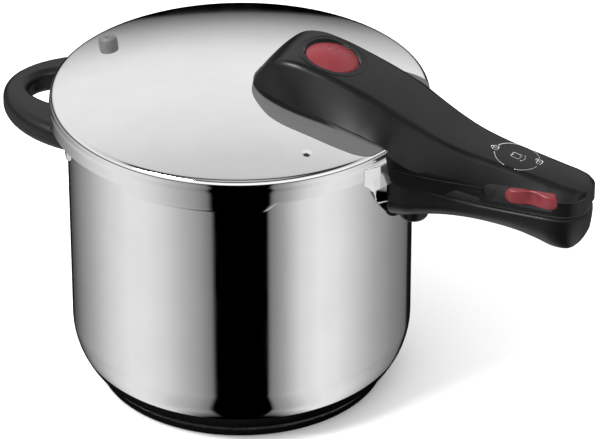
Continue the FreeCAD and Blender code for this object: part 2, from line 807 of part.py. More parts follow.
def part_feature(kind, name, sizes, place):
    """A Part primitive whose sizes come from the sheet."""
    feature = doc.addObject(kind, name)
    for quantity, size in sizes.items():
        feature.setExpression(quantity, as_size(size).text)
    feature.Placement = FreeCAD.Placement(place, FreeCAD.Rotation())
    return feature


def combined(kind, name, base, tool):
    feature = doc.addObject(kind, name)
    feature.Base = base
    feature.Tool = tool
    return feature


def make_signal_cap():
    """Hollow cap: its crown is part of a ball that leans with the slope of the handle."""
    x = float(signal_place)
    face = float(signal_face)
    bottom = face - float(signal_skirt)
    ceiling = face - float(signal_skirt) + float(signal_hollow)
    crown = float(signal_crown)
    ball = (signal_radius * signal_radius + signal_crown * signal_crown) / (signal_crown * 2)
    slope = math.radians(float(signal_slope))
    depth = float(ball) - crown
    centre = Vector(x - depth * math.sin(slope), 0, face - depth * math.cos(slope))
    barrel = part_feature("Part::Cylinder", "cap_barrel", {"Radius": signal_radius, "Height": 30},
                          Vector(x, 0, bottom))
    crown_ball = part_feature("Part::Sphere", "cap_crown", {"Radius": ball}, centre)
    hollow = part_feature("Part::Cylinder", "cap_hollow",
                          {"Radius": signal_radius - signal_wall, "Height": signal_hollow},
                          Vector(x, 0, bottom))
    socket = part_feature("Part::Cylinder", "cap_socket", {"Radius": stem_radius, "Height": 5},
                          Vector(x, 0, ceiling))
    solid = combined("Part::Common", "cap_solid", barrel, crown_ball)
    open_cap = combined("Part::Cut", "cap_open", solid, hollow)
    cap = combined("Part::Cut", "signal_cap", open_cap, socket)
    cap.Label = "signal_cap"
    doc.recompute()
    return ceiling


def make_signal():
    """Pressure signal: cap and stem, grommet in the lid, spring that pushes the stem down."""
    x = float(signal_place)
    place = Vector(x, 0, 0)
    ceiling = make_signal_cap()
    stem = stem_radius
    turned("signal_stem", [
        (0, ceiling + 4.9),
        (0, 191.6),
        (5.2, 191.6),
        (5.2, 193.2),
        (stem, 193.2),
        (stem, 228.0),
        (6.4, 228.0),
        (6.4, ceiling - 0.1),
        (stem - 0.05, ceiling - 0.1),
        (stem - 0.05, ceiling + 4.9),
    ], place)
    top = dome_height(x)
    hole = stem_hole - 0.05
    turned("signal_grommet", [
        (stem + 0.4, top + 2.0),
        (stem + 0.4, top - 2.8),
        (hole + 3.0, top - 3.6),
        (hole + 3.0, top - 2.4),
        (hole, top - 2.2),
        (hole, top + 0.9),
        (hole + 2.2, top + 1.0),
        (hole + 1.6, top + 2.0),
    ], place)
    coil("signal_spring", 0.45, 4.2, 3.0, 14.0, place + Vector(0, 0, 194.0), Z_AXIS)


def make_vent():
    """Venting valve: steel cone on a silicone seat, lifted clear of it while the slider is open."""
    x = float(vent_place)
    top = dome_height(x)
    place = Vector(x, 0, top)
    hole = vent_hole - 0.05
    turned("vent_seat", [
        (1.8, 0.8),
        (1.8, -2.8),
        (hole + 2.0, -3.4),
        (hole + 2.0, -2.5),
        (hole, -2.3),
        (hole, 1.0),
        (hole + 2.0, 1.1),
        (hole + 1.4, 2.4),
        (3.6, 2.4),
    ], place)
    turned("vent_cone", [
        (0, 16.5),
        (0, 2.9),
        (1.5, 3.6),
        (3.4, 6.2),
        (3.4, 7.8),
        (1.6, 7.8),
        (1.6, 16.5),
    ], place)
    coil("vent_spring", 0.35, 2.5, 1.9, 6.0, place + Vector(0, 0, 8.5), Z_AXIS)


# ---------------------------------------------------------------------------
# Pot handle
# ---------------------------------------------------------------------------

# distance from the axis, half width at the top, height of the underside, half width of the underside
POT_HANDLE = (
    (113.4, 29.0, 146.6, 20.0),
    (122.0, 29.0, 147.0, 19.0),
    (132.0, 27.6, 148.2, 16.5),
    (145.0, 25.4, 149.6, 14.5),
    (160.0, 23.4, 150.0, 13.0),
    (178.0, 22.2, 149.0, 12.0),
    (194.0, 21.8, 147.2, 12.0),
    (207.0, 21.6, 144.0, 12.0),
    (217.0, 21.2, 141.0, 12.0),
    (225.0, 19.4, 140.4, 11.0),
    (231.4, 15.6, 143.4, 8.6),
    (235.2, 10.6, 149.0, 5.6),
    (237.0, 5.6, 156.0, 3.0),
)


def pot_handle_section(x, top_width, low, low_width):
    """Cross-section of the pot handle: upright flanks and a rounded belly."""
    top = 186.0
    flank = low + (172.0 - low) * 0.62
    right = [Vector(x, top_width, top), Vector(x, top_width, flank), Vector(x, low_width, low + 0.6)]
    left = [Vector(point.x, -point.y, point.z) for point in right]
    bend = Vector(x, top_width * 0.66 + low_width * 0.34, low + (flank - low) * 0.38)
    mirror = Vector(x, -bend.y, bend.z)
    edges = [
        Part.LineSegment(left[0], right[0]).toShape(),
        Part.LineSegment(right[0], right[1]).toShape(),
        Part.Arc(right[1], bend, right[2]).toShape(),
        Part.Arc(right[2], Vector(x, 0, low), left[2]).toShape(),
        Part.Arc(left[2], mirror, left[1]).toShape(),
        Part.LineSegment(left[1], left[0]).toShape(),
    ]
    return Part.Wire(edges)


# boss under the root of the pot handle, with the screw that holds the handle
BOSS_PLACE = 119.5
BOSS_LOW = 135.0
BOSS_TOP = 170.0
SCREW_LOW = BOSS_LOW + 2.4
SCREW_TOP = 164.5


def make_pot_handle():
    form = Part.makeLoft([pot_handle_section(*row) for row in POT_HANDLE], True, False)
    boss = Part.makeCylinder(9.5, BOSS_TOP - BOSS_LOW, Vector(BOSS_PLACE, 0, BOSS_LOW))
    boss = boss.makeFillet(4.0, [edge for edge in boss.Edges if edge.BoundBox.ZMax < BOSS_LOW + 0.5])
    wall = ring_solid([(0, 100), (pot_clearance.number, 100), (pot_clearance.number, 230), (0, 230)])
    form = form.fuse(boss).cut(above(GAP, -1.0)).cut(wall)
    pocket = block(110, 147.2, -8.2, 8.2, 159.8, 164.2)
    bore = screw_solid(BOSS_PLACE, 0, SCREW_LOW, BOSS_TOP - SCREW_LOW - 2.0, 0.15)
    formed("pot_handle", form.cut(pocket).cut(bore))
    # steel bracket: a foot welded to the wall, with a tongue in the handle
    shell = ring_solid([(float(pot_radius) + 0.02, 159.2), (pot_clearance.number - 0.4, 159.2),
                        (pot_clearance.number - 0.4, 170), (float(pot_radius) + 0.02, 170)])
    foot = shell.common(block(100, 120, -14, 14, 150, 175))
    core = ring_solid([(0, 150), (111.6, 150), (111.6, 170), (0, 170)])
    tongue = block(112, 147, -8, 8, 160, 164).cut(core)
    tongue = tongue.cut(Part.makeCylinder(1.8, 10, Vector(BOSS_PLACE, 0, 156)))
    formed("pot_handle_bracket", foot.fuse(tongue))
    slot = block(BOSS_PLACE - 3.5, BOSS_PLACE + 3.5, -0.6, 0.6, SCREW_LOW - 1.0, SCREW_LOW + 0.9)
    screw = screw_solid(BOSS_PLACE, 0, SCREW_LOW, SCREW_TOP - SCREW_LOW - 2.0)
    formed("pot_handle_screw", screw.cut(slot))


def make_flame_guard():
    """Steel sleeve between the wall of the pot and the root of the handle."""
    def frame(x, half, low, high):
        points = [Vector(x, -half, low), Vector(x, half, low), Vector(x, half, high), Vector(x, -half, high)]
        return Part.makePolygon(points + points[:1])
    sleeve = Part.makeLoft([frame(104, 34.5, 155.5, 180), frame(112.9, 31.7, 157.4, 180)], True, True)
    hollow = Part.makeLoft([frame(104, 33.3, 156.7, 190), frame(112.9, 30.5, 158.6, 190)], True, True)
    wall = ring_solid([(0, 100), (float(pot_radius) + 0.02, 100), (float(pot_radius) + 0.02, 230), (0, 230)])
    guard = sleeve.cut(hollow).cut(wall).cut(above(GAP, -2.4))
    guard = guard.common(Part.makeCylinder(pot_clearance.number - 0.1, 230))
    formed("pot_handle_flame_guard", guard)


# ---------------------------------------------------------------------------
# Side handle: a closed loop
# ---------------------------------------------------------------------------

def loop_face(centre, reach, half, power, z):
    """Face bounded by a rounded outline about a centre on the handle's axis."""
    points = []
    count = 40
    for i in range(count):
        angle = 2 * math.pi * i / count
        c, s = math.cos(angle), math.sin(angle)
        points.append(Vector(centre + reach * math.copysign(abs(c) ** (2 / power), c),
                             half * math.copysign(abs(s) ** (2 / power), s), z))
    curve = Part.BSplineCurve()
    curve.interpolate(points, PeriodicFlag=True)
    return Part.Face(Part.Wire([curve.toShape()]))


def make_side_handle():
    low, high = 164.6, 181.0
    middle = -95.0
    reach = float(side_reach) + middle
    slab = loop_face(middle, reach, float(side_half_width), 1.9, low).extrude(Vector(0, 0, high - low))
    hole = loop_face(-112.0, 36.0, 22.5, 2.2, low - 5).extrude(Vector(0, 0, 30))
    room = pot_clearance.number + 0.4
    clear = ring_solid([(0, 100), (room, 100), (room, 230), (0, 230)])
    loop = slab.makeFillet(6.6, [edge for edge in slab.Edges if edge.BoundBox.ZLength < 0.1])
    loop = loop.cut(hole)
    rims = [edge for edge in loop.Edges if edge.BoundBox.ZLength < 0.1 and edge.BoundBox.YLength < 50]
    loop = loop.makeFillet(5.4, rims).cut(clear)
    pockets = [block(-127, -100, y - 5.2, y + 5.2, 170.8, 174.2) for y in (-38, 38)]
    screws = [screw_solid(-118.0, y, 166.0, 11.6, 0.15) for y in (-38, 38)]
    for item in pockets + screws:
        loop = loop.cut(item)
    formed("side_handle", loop)
    radius = float(pot_radius)
    strip = ring_solid([(radius + 0.02, 163.4), (pot_clearance.number, 163.4), (pot_clearance.number, 180.4),
                        (radius + 0.02, 180.4)])
    strip = strip.common(block(-130, -60, -62, 62, 150, 200))
    window = block(-130, -100, -30, 30, 150, 200)
    formed("side_handle_flame_guard", strip.cut(window))
    inner = pot_clearance.number + 0.02
    core = ring_solid([(0, 150), (inner, 150), (inner, 200), (0, 200)])
    tongues = None
    for y in (-38, 38):
        tongue = block(-126.6, -100, y - 5, y + 5, 171, 174).cut(core)
        tongue = tongue.cut(Part.makeCylinder(1.8, 10, Vector(-118.0, y, 168)))
        tongues = tongue if tongues is None else Part.makeCompound([tongues, tongue])
    formed("side_handle_bracket", tongues)
    heads = [screw_solid(-118.0, y, 166.0, 10.0).cut(block(-122, -114, y - 0.6, y + 0.6, 165, 166.9))
             for y in (-38, 38)]
    formed("side_handle_screws", Part.makeCompound(heads))


def finish_document():
    """Check every object and write each piece to its own file."""
    doc.recompute()
    for item in doc.Objects:
        if "Invalid" in item.State or "Error" in item.State:
            raise RuntimeError(f"{item.Name}: {item.State}")
    os.makedirs("parts", exist_ok=True)
    pieces = [item for item in doc.Objects if is_piece(item)]
    for item in pieces:
        if item.Shape.isNull() or not item.Shape.isValid():
            raise RuntimeError(f"{item.Label}: bad shape")
        item.Shape.exportStep(f"parts/{item.Label}.step")
        print(f"{item.Label:32s} {item.Shape.Volume / 1000:9.2f} cm3  solids {len(item.Shape.Solids)}")


def is_piece(item):
    """A piece is a body or a Part object that no other object is made from."""
    if item.TypeId != "PartDesign::Body" and not item.TypeId.startswith("Part::"):
        return False
    if item.getParentGeoFeatureGroup() is not None:
        return False
    return not any(user.TypeId.startswith("Part::") for user in item.InList)


make_pot()
make_base()
make_flame_guard()
make_pot_handle()
make_side_handle()
make_lid()
make_gasket()
make_safety_valve()
make_lid_bracket()
make_foot()
make_lid_handle()
make_handle_screws()
make_slider()
make_release_latch()
make_signal()
make_vent()
coil("slider_spring", 0.4, 2.0, 2.6, 32.8, Vector(156.8, 0, 181.8), X_AXIS)
coil("latch_spring", 0.3, 1.2, 1.6, 4.0, Vector(166.5, 12, 178.8), X_AXIS)
finish_document()
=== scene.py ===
import json
import math
import bpy
import bmesh
from mathutils import Matrix, Vector


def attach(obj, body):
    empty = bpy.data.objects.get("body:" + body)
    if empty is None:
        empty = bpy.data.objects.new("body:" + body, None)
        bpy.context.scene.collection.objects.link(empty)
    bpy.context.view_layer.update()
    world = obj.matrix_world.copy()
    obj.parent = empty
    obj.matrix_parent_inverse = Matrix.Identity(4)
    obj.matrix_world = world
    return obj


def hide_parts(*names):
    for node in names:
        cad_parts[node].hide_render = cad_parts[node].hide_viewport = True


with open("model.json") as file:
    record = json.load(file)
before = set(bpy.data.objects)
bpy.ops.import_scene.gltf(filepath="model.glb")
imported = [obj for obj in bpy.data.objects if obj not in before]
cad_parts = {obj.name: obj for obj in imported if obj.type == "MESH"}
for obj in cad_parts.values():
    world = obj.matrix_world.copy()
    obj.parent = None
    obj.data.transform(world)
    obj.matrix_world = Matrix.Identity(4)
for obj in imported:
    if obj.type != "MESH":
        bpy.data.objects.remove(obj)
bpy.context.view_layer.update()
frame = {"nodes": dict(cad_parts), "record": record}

MM = 0.001
scene = bpy.context.scene


# ---------------------------------------------------------------------------
# Camera
# ---------------------------------------------------------------------------

AZIMUTH = math.radians(23.0)
ELEVATION = math.radians(30.4)
DISTANCE = 2.608
LENS = 240.0
SENSOR = 36.0
TARGET = Vector((0, 0, 0.100))
# how far the middle of the picture lies right of and above the target, per metre of distance
PAN = 0.01475
TILT = 0.002125


def make_camera():
    back = Vector((math.sin(AZIMUTH) * math.cos(ELEVATION),
                   -math.cos(AZIMUTH) * math.cos(ELEVATION), math.sin(ELEVATION)))
    right = Vector((math.cos(AZIMUTH), math.sin(AZIMUTH), 0))
    up = back.cross(right)
    aim = TARGET + (right * PAN + up * TILT) * DISTANCE
    lens = bpy.data.cameras.new("camera")
    lens.lens = LENS
    lens.sensor_width = SENSOR
    lens.clip_end = 60
    camera = bpy.data.objects.new("camera", lens)
    camera.location = TARGET + back * DISTANCE
    camera.rotation_euler = (aim - camera.location).to_track_quat("-Z", "Y").to_euler()
    scene.collection.objects.link(camera)
    scene.camera = camera


# ---------------------------------------------------------------------------
# Materials
# ---------------------------------------------------------------------------

# range that noise values fill, and the darkest and lightest shade of a colour
NOISE_LOW, NOISE_HIGH = 0.3, 0.7
DARKER, LIGHTER = 0.86, 1.12
# scale and height in metres of the finest grain on moulded surfaces
GRAIN = 1900.0
GRAIN_HEIGHT = 0.00005


class Nodes:
    """Short way to add and link shader nodes."""

    def __init__(self, tree):
        self.tree = tree

    def add(self, kind, **values):
        node = self.tree.nodes.new(kind)
        for name, value in values.items():
            setattr(node, name, value)
        return node

    def link(self, start, end):
        self.tree.links.new(start, end)

    def coordinates(self, scale=(1, 1, 1)):
        place = self.add("ShaderNodeTexCoord")
        mapping = self.add("ShaderNodeMapping")
        mapping.inputs["Scale"].default_value = scale
        self.link(place.outputs["Object"], mapping.inputs["Vector"])
        return mapping.outputs["Vector"]

    def maths(self, operation, *values):
        """Result of a sum on sockets and plain numbers."""
        node = self.add("ShaderNodeMath", operation=operation)
        for socket, value in zip(node.inputs, values):
            if isinstance(value, (int, float)):
                socket.default_value = value
            else:
                self.link(value, socket)
        return node.outputs["Value"]

    def noise(self, vector, scale, detail=3.0, rough=0.5):
        node = self.add("ShaderNodeTexNoise")
        node.inputs["Scale"].default_value = scale
        node.inputs["Detail"].default_value = detail
        node.inputs["Roughness"].default_value = rough
        self.link(vector, node.inputs["Vector"])
        return node.outputs["Fac"]

    def spread(self, value, low, high, start=NOISE_LOW, end=NOISE_HIGH):
        """Map a value from start..end to low..high."""
        node = self.add("ShaderNodeMapRange")
        for name, number in (("From Min", start), ("From Max", end), ("To Min", low), ("To Max", high)):
            node.inputs[name].default_value = number
        self.link(value, node.inputs["Value"])
        return node.outputs["Result"]

    def ramp(self, value, stops):
        node = self.add("ShaderNodeValToRGB")
        ramp = node.color_ramp
        while len(ramp.elements) < len(stops):
            ramp.elements.new(0.5)
        for element, (place, color) in zip(ramp.elements, stops):
            element.position = place
            element.color = (*color, 1)
        self.link(value, node.inputs["Fac"])
        return node.outputs["Color"]

    def bump(self, height, distance):
        node = self.add("ShaderNodeBump")
        node.inputs["Distance"].default_value = distance
        self.link(height, node.inputs["Height"])
        return node.outputs["Normal"]

    def shade(self, color, value):
        """Colour that drifts between a darker and a lighter shade."""
        dark = tuple(c * DARKER for c in color)
        light = tuple(min(c * LIGHTER, 1) for c in color)
        return self.ramp(value, [(NOISE_LOW, dark), (NOISE_HIGH, light)])


def new_material(name):
    mat = bpy.data.materials.new(name)
    mat.use_nodes = True
    nodes = Nodes(mat.node_tree)
    shader = mat.node_tree.nodes["Principled BSDF"]
    return mat, nodes, shader


def polished_steel():
    mat, nodes, shader = new_material("polished_steel")
    fine = nodes.noise(nodes.coordinates(), 40.0, 4.0)
    color = nodes.ramp(fine, [(NOISE_LOW, (0.86, 0.86, 0.865)), (NOISE_HIGH, (0.9, 0.9, 0.9))])
    shader.inputs["Metallic"].default_value = 1.0
    nodes.link(color, shader.inputs["Base Color"])
    nodes.link(nodes.spread(fine, 0.035, 0.075), shader.inputs["Roughness"])
    return mat


def satin_steel(name, stretch, color, rough):
    """Steel with fine straight grain."""
    mat, nodes, shader = new_material(name)
    grain = nodes.noise(nodes.coordinates(stretch), 900.0, 3.0)
    shader.inputs["Metallic"].default_value = 1.0
    nodes.link(nodes.shade(color, grain), shader.inputs["Base Color"])
    nodes.link(nodes.spread(grain, rough - 0.07, rough + 0.09), shader.inputs["Roughness"])
    nodes.link(nodes.bump(grain, 0.00004), shader.inputs["Normal"])
    return mat


def moulded_plastic(name, color, rough, grain_height):
    """Heat-proof plastic with a fine moulded grain and faint handling marks."""
    mat, nodes, shader = new_material(name)
    vector = nodes.coordinates()
    grain = nodes.noise(vector, GRAIN, 2.0)
    cloud = nodes.noise(vector, 34.0, 4.0)
    nodes.link(nodes.shade(color, cloud), shader.inputs["Base Color"])
    nodes.link(nodes.spread(cloud, rough - 0.05, rough + 0.06), shader.inputs["Roughness"])
    nodes.link(nodes.bump(grain, grain_height), shader.inputs["Normal"])
    shader.inputs["Specular IOR Level"].default_value = 0.3
    return mat


# height in metres of the painted black shade line on the foot over the middle of the lid, half of its
# softness, and how it falls with the squared radius
FOOT_SHADE_HEIGHT = 0.2188
FOOT_SHADE_SOFT = 0.0002
FOOT_FALL = 0.906


def foot_plastic():
    """Grey plastic of the handle's foot, with painted black shade where it goes up into the handle,
    standing in for the shadow in the gap under the top shell.
    """
    mat, nodes, shader = new_material("foot_plastic")
    place = nodes.add("ShaderNodeTexCoord")
    parts = nodes.add("ShaderNodeSeparateXYZ")
    nodes.link(place.outputs["Object"], parts.inputs["Vector"])
    total = nodes.maths("ADD", nodes.maths("MULTIPLY", parts.outputs["X"], parts.outputs["X"]),
                        nodes.maths("MULTIPLY", parts.outputs["Y"], parts.outputs["Y"]))
    height = nodes.maths("ADD", parts.outputs["Z"], nodes.maths("MULTIPLY", total, FOOT_FALL))
    cloud = nodes.noise(nodes.coordinates(), 60.0, 3.0)
    # painted shade: the colour turns black above this height, in place of the shadow under the top
    # shell
    edge = nodes.spread(height, 0.0, 1.0, FOOT_SHADE_HEIGHT - FOOT_SHADE_SOFT, FOOT_SHADE_HEIGHT + FOOT_SHADE_SOFT)
    color = nodes.ramp(edge, [(0.2, (0.078, 0.078, 0.08)), (0.8, (0.002, 0.002, 0.002))])
    nodes.link(color, shader.inputs["Base Color"])
    nodes.link(nodes.spread(cloud, 0.38, 0.48), shader.inputs["Roughness"])
    shader.inputs["Specular IOR Level"].default_value = 0.15
    grain = nodes.noise(nodes.coordinates(), GRAIN, 2.0)
    nodes.link(nodes.bump(grain, GRAIN_HEIGHT), shader.inputs["Normal"])
    return mat


def silicone(name, color):
    mat, nodes, shader = new_material(name)
    vector = nodes.coordinates()
    cloud = nodes.noise(vector, 120.0, 3.0)
    nodes.link(nodes.shade(color, cloud), shader.inputs["Base Color"])
    nodes.link(nodes.spread(cloud, 0.42, 0.58), shader.inputs["Roughness"])
    nodes.link(nodes.bump(nodes.noise(vector, 1500.0), GRAIN_HEIGHT), shader.inputs["Normal"])
    shader.inputs["Sheen Weight"].default_value = 0.15
    return mat


MATERIALS = {
    "polished_steel": polished_steel(),
    "satin_steel": satin_steel("satin_steel", (1, 1, 0.04), (0.62, 0.62, 0.63), 0.28),
    "base_aluminium": satin_steel("base_aluminium", (1, 1, 0.1), (0.66, 0.66, 0.67), 0.4),
    "black_plastic": moulded_plastic("black_plastic", (0.0035, 0.0035, 0.0038), 0.34, GRAIN_HEIGHT),
    "foot_plastic": foot_plastic(),
    "red_plastic": moulded_plastic("red_plastic", (0.150, 0.020, 0.025), 0.34, 0.00002),
    "silicone": silicone("silicone", (0.30, 0.30, 0.31)),
    "valve_silicone": silicone("valve_silicone", (0.085, 0.085, 0.088)),
}


def white_print():
    mat, nodes, shader = new_material("white_print")
    cloud = nodes.noise(nodes.coordinates(), 800.0, 2.0)
    nodes.link(nodes.shade((0.72, 0.72, 0.73), cloud), shader.inputs["Base Color"])
    nodes.link(nodes.spread(cloud, 0.4, 0.55), shader.inputs["Roughness"])
    return mat


PRINT = white_print()


# ---------------------------------------------------------------------------
# Mesh helpers
# ---------------------------------------------------------------------------

# distance in metres below which points are one, and the sharp angle of pieces cut from sheet
WELD = 2e-7
SHEET_SHARP = 40.0


def mesh_object(name, verts, faces):
    """Object made of points in millimetres."""
    mesh = bpy.data.meshes.new(name)
    mesh.from_pydata([Vector(v) * MM for v in verts], [], faces)
    obj = bpy.data.objects.new(name, mesh)
    scene.collection.objects.link(obj)
    return obj


def piece(name, verts, faces, body, slot, sharp=32.0, replaced=()):
    """Visible piece that rides on a body and is shaded by its slot's material."""
    obj = mesh_object(name, verts, faces)
    obj.data.validate()
    obj.data.materials.append(MATERIALS[slot])
    tidy_mesh(obj.data, sharp)
    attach(obj, body)
    if replaced:
        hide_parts(*replaced)
    return obj


def weld(mesh):
    """Join points that coincide and turn all faces outward."""
    bm = bmesh.new()
    bm.from_mesh(mesh)
    bmesh.ops.remove_doubles(bm, verts=bm.verts, dist=WELD)
    bmesh.ops.recalc_face_normals(bm, faces=bm.faces)
    bm.to_mesh(mesh)
    bm.free()


def tidy_mesh(mesh, sharp):
    """Weld and shade smooth, with hard edges above an angle in degrees."""
    weld(mesh)
    mesh.polygons.foreach_set("use_smooth", [True] * len(mesh.polygons))
    mesh.set_sharp_from_angle(angle=math.radians(sharp))


def grid(rows, size, closed=False, rings=True):
    """Quads between rows of points; the rows, and each row by itself, can close on themselves."""
    faces = []
    for i in range(rows if closed else rows - 1):
        j = (i + 1) % rows
        for k in range(size if rings else size - 1):
            m = (k + 1) % size
            faces.append((i * size + k, j * size + k, j * size + m, i * size + m))
    return faces


def end_face(row, size):
    """One face over a whole row of points."""
    return tuple(row * size + k for k in range(size))


def loft(rings):
    """Closed skin over rings of points, all of one length, with flat ends."""
    rows, size = len(rings), len(rings[0])
    faces = grid(rows, size) + [end_face(0, size)[::-1], end_face(rows - 1, size)]
    return [point for ring in rings for point in ring], faces


def lathe(rows, count, first=0.0, last=360.0, closed_profile=True):
    """Turned skin from rows(bearing) -> [(r, z), ...], all of one length."""
    full = abs(last - first - 360.0) < 1e-6
    steps = count if full else count + 1
    verts = []
    for i in range(steps):
        bearing = first + (last - first) * i / count
        c, s = math.cos(math.radians(bearing)), math.sin(math.radians(bearing))
        verts += [(r * c, r * s, z) for r, z in rows(bearing)]
    size = len(verts) // steps
    faces = grid(steps, size, full, closed_profile)
    if not full:
        faces += [end_face(0, size)[::-1], end_face(steps - 1, size)]
    return verts, faces


def arc(centre, radius, start, end, count):
    """Points on an arc; angles in degrees."""
    return [(centre[0] + radius * math.cos(math.radians(start + (end - start) * i / count)),
             centre[1] + radius * math.sin(math.radians(start + (end - start) * i / count)))
            for i in range(count + 1)]


def box(low, high):
    """Box between two corners."""
    (x0, y0, z0), (x1, y1, z1) = low, high
    corners = [(x, y, z) for x in (x0, x1) for y in (y0, y1) for z in (z0, z1)]
    return corners, [(0, 1, 3, 2), (4, 6, 7, 5), (0, 4, 5, 1), (2, 3, 7, 6), (0, 2, 6, 4),
                     (1, 5, 7, 3)]


def subtract(obj, verts, faces):
    """Take a closed form out of a piece."""
    tool = mesh_object("cutter", verts, faces)
    weld(tool.data)
    modifier = obj.modifiers.new("cut", "BOOLEAN")
    modifier.operation = "DIFFERENCE"
    modifier.solver = "EXACT"
    modifier.object = tool
    graph = bpy.context.evaluated_depsgraph_get()
    mesh = bpy.data.meshes.new_from_object(obj.evaluated_get(graph))
    obj.modifiers.clear()
    old = obj.data
    obj.data = mesh
    bpy.data.meshes.remove(old)
    bpy.data.objects.remove(tool)


def joined(parts):
    """Several forms as one list of points and one of faces."""
    verts, faces = [], []
    for more_verts, more_faces in parts:
        start = len(verts)
        verts += more_verts
        faces += [tuple(k + start for k in face) for face in more_faces]
    return verts, faces


def knots_height(knots, r):
    """Height on a line of straight runs through (r, z) knots."""
    for (r0, z0), (r1, z1) in zip(knots, knots[1:]):
        if r <= r1:
            return z0 + (z1 - z0) * (r - r0) / (r1 - r0)
    return knots[-1][1]


def smooth(x):
    """Soft step from 0 to 1."""
    x = min(max(x, 0.0), 1.0)
    return x * x * (3 - 2 * x)


# ---------------------------------------------------------------------------
# Lid
# ---------------------------------------------------------------------------

SHEET = 1.2
# radius that stands for the axis, where a profile must not close on itself
AXIS = 0.02
APEX = 216.0
SHOULDER = (118.6, 204.3)
SHOULDER_ROLL = 4.0
SAG = APEX - SHOULDER[1]
DOME = (SHOULDER[0] ** 2 + SAG ** 2) / (2 * SAG)
SKIRT = 122.3
CLAW_LOW = 181.7
SKIRT_LOW = 188.2
CLAW_MIDDLE = -79.6
CLAW_HALF = 19.0
CLAW_SLOPE = 5.0
# way of the locking bar through the skirt and the wall
BAR_HALF = 4.5
BAR_LOW, BAR_HIGH = 184.1, 187.7
BAR_WAY = ((112, -BAR_HALF, BAR_LOW), (130, BAR_HALF, BAR_HIGH))


def dome(radius, depth=0.0):
    """Height of the lid's crown, or of its inside when lowered by the sheet."""
    return APEX - DOME + math.sqrt((DOME - depth) ** 2 - radius ** 2)


def claw(bearing):
    """1 on a claw, 0 between claws, and in between on the slopes at its ends."""
    offset = (bearing - CLAW_MIDDLE + 45) % 90 - 45
    return 1 - smooth((abs(offset) - CLAW_HALF) / CLAW_SLOPE)


def lid_rows(bearing):
    """Closed profile of the lid: over the crown, down the skirt, round the claw and back inside."""
    share = claw(bearing)
    low = SKIRT_LOW + (CLAW_LOW - SKIRT_LOW) * share
    curl = 0.55 + 1.9 * share
    inner = SKIRT - SHEET
    lip = inner - 6.8 * share
    outer = [(AXIS, dome(0))]
    outer += [(r, dome(r)) for r in (SHOULDER[0] * (i / 46) ** 0.9 for i in range(1, 46))]
    tangent = math.degrees(math.asin(SHOULDER[0] / DOME))
    roll = SHOULDER_ROLL
    centre = (SHOULDER[0] - roll * math.sin(math.radians(tangent)),
              SHOULDER[1] - roll * math.cos(math.radians(tangent)))
    outer += arc(centre, roll, 90 - tangent, 2, 12)
    side = centre[0] + roll
    outer += [(side, 200.0), (side, 199.0)]
    outer += [(side + (SKIRT - side) * smooth(i / 8), 198.8 - 2.6 * i / 8) for i in range(9)]
    outer += [(SKIRT, 196.0 + (low + curl - 196.0) * i / 6) for i in range(1, 6)]
    outer += arc((SKIRT - curl, low + curl), curl, 0, -90, 8)
    outer += [(SKIRT - curl - (SKIRT - curl - lip - 0.3) * share, low + 0.01)]
    outer += [(lip, low + 0.3), (lip, low + SHEET)]
    inner_curl = max(curl - SHEET, 0.05)
    outer += [(inner - inner_curl * share, low + SHEET + 0.02)]
    outer += [(inner, low + SHEET + inner_curl), (inner, 196.0)]
    outer += [(side - SHEET, 198.6), (side - SHEET, 201.0)]
    outer += arc(centre, roll - SHEET, 0, 90 - tangent, 6)
    outer += [(r, dome(r, SHEET)) for r in (SHOULDER[0] * (1 - i / 16) for i in range(1, 16))]
    outer += [(AXIS, dome(0, SHEET))]
    return outer


def make_lid():
    verts, faces = lathe(lid_rows, 480)
    lid = piece("lid_dome", verts, faces, "lid", "polished_steel", SHEET_SHARP, ("lid_shell",))
    subtract(lid, *box(*BAR_WAY))
    tidy_mesh(lid.data, SHEET_SHARP)
    make_lid_mark()


def make_lid_mark():
    """Small pressed pip that shows where the lid goes on."""
    bearing, reach, size, height, skin = math.radians(-43.0), 101.0, 4.2, 0.55, 0.012
    middle = Vector((reach * math.cos(bearing), reach * math.sin(bearing), 0))
    verts = []
    rings, count = 14, 40
    for i in range(rings + 1):
        r = size * i / rings
        rise = height * (0.5 + 0.5 * math.cos(math.pi * min(r / (size * 0.9), 1))) + skin
        for k in range(count):
            a = 2 * math.pi * k / count
            x, y = middle.x + r * math.cos(a), middle.y + r * math.sin(a)
            verts.append((x, y, dome(math.hypot(x, y)) + rise))
    piece("lid_position_mark", verts, grid(rings + 1, count), "lid", "polished_steel")


# ---------------------------------------------------------------------------
# Pot
# ---------------------------------------------------------------------------

POT = 111.2
BASE_TOP = 5.3
RIM = 192.0
RIM_RADIUS = 113.4
LUG = 119.4
LUG_LOW = 183.4
LUG_HALF = 18.0
LUG_SLOPE = 1.2
LUG_MIDDLE = 10.4
# the wall turns into the base on a large and then a small radius
SMALL, LARGE = 18.0, 49.0
LARGE_CENTRE = (POT - LARGE, BASE_TOP + 37.0)
SMALL_CENTRE = (POT - 24.5, BASE_TOP + SMALL)


def lug(bearing):
    """1 on a lug of the rim and 0 between lugs."""
    offset = (bearing - LUG_MIDDLE + 45) % 90 - 45
    return 1 - smooth((abs(offset) - LUG_HALF + LUG_SLOPE) / LUG_SLOPE)


def wall_profile(depth):
    """Outside of base and wall, or their inside when moved in by the sheet."""
    meet = math.degrees(math.atan2(SMALL_CENTRE[1] - LARGE_CENTRE[1],
                                   SMALL_CENTRE[0] - LARGE_CENTRE[0]))
    points = [(AXIS, BASE_TOP + depth), (40, BASE_TOP + depth), (70, BASE_TOP + depth)]
    points += arc(SMALL_CENTRE, SMALL - depth, -90, meet, 16)
    points += arc(LARGE_CENTRE, LARGE - depth, meet, 0, 26)[1:]
    points += [(POT - depth, z) for z in (60, 90, 120, 150, 172)]
    return points


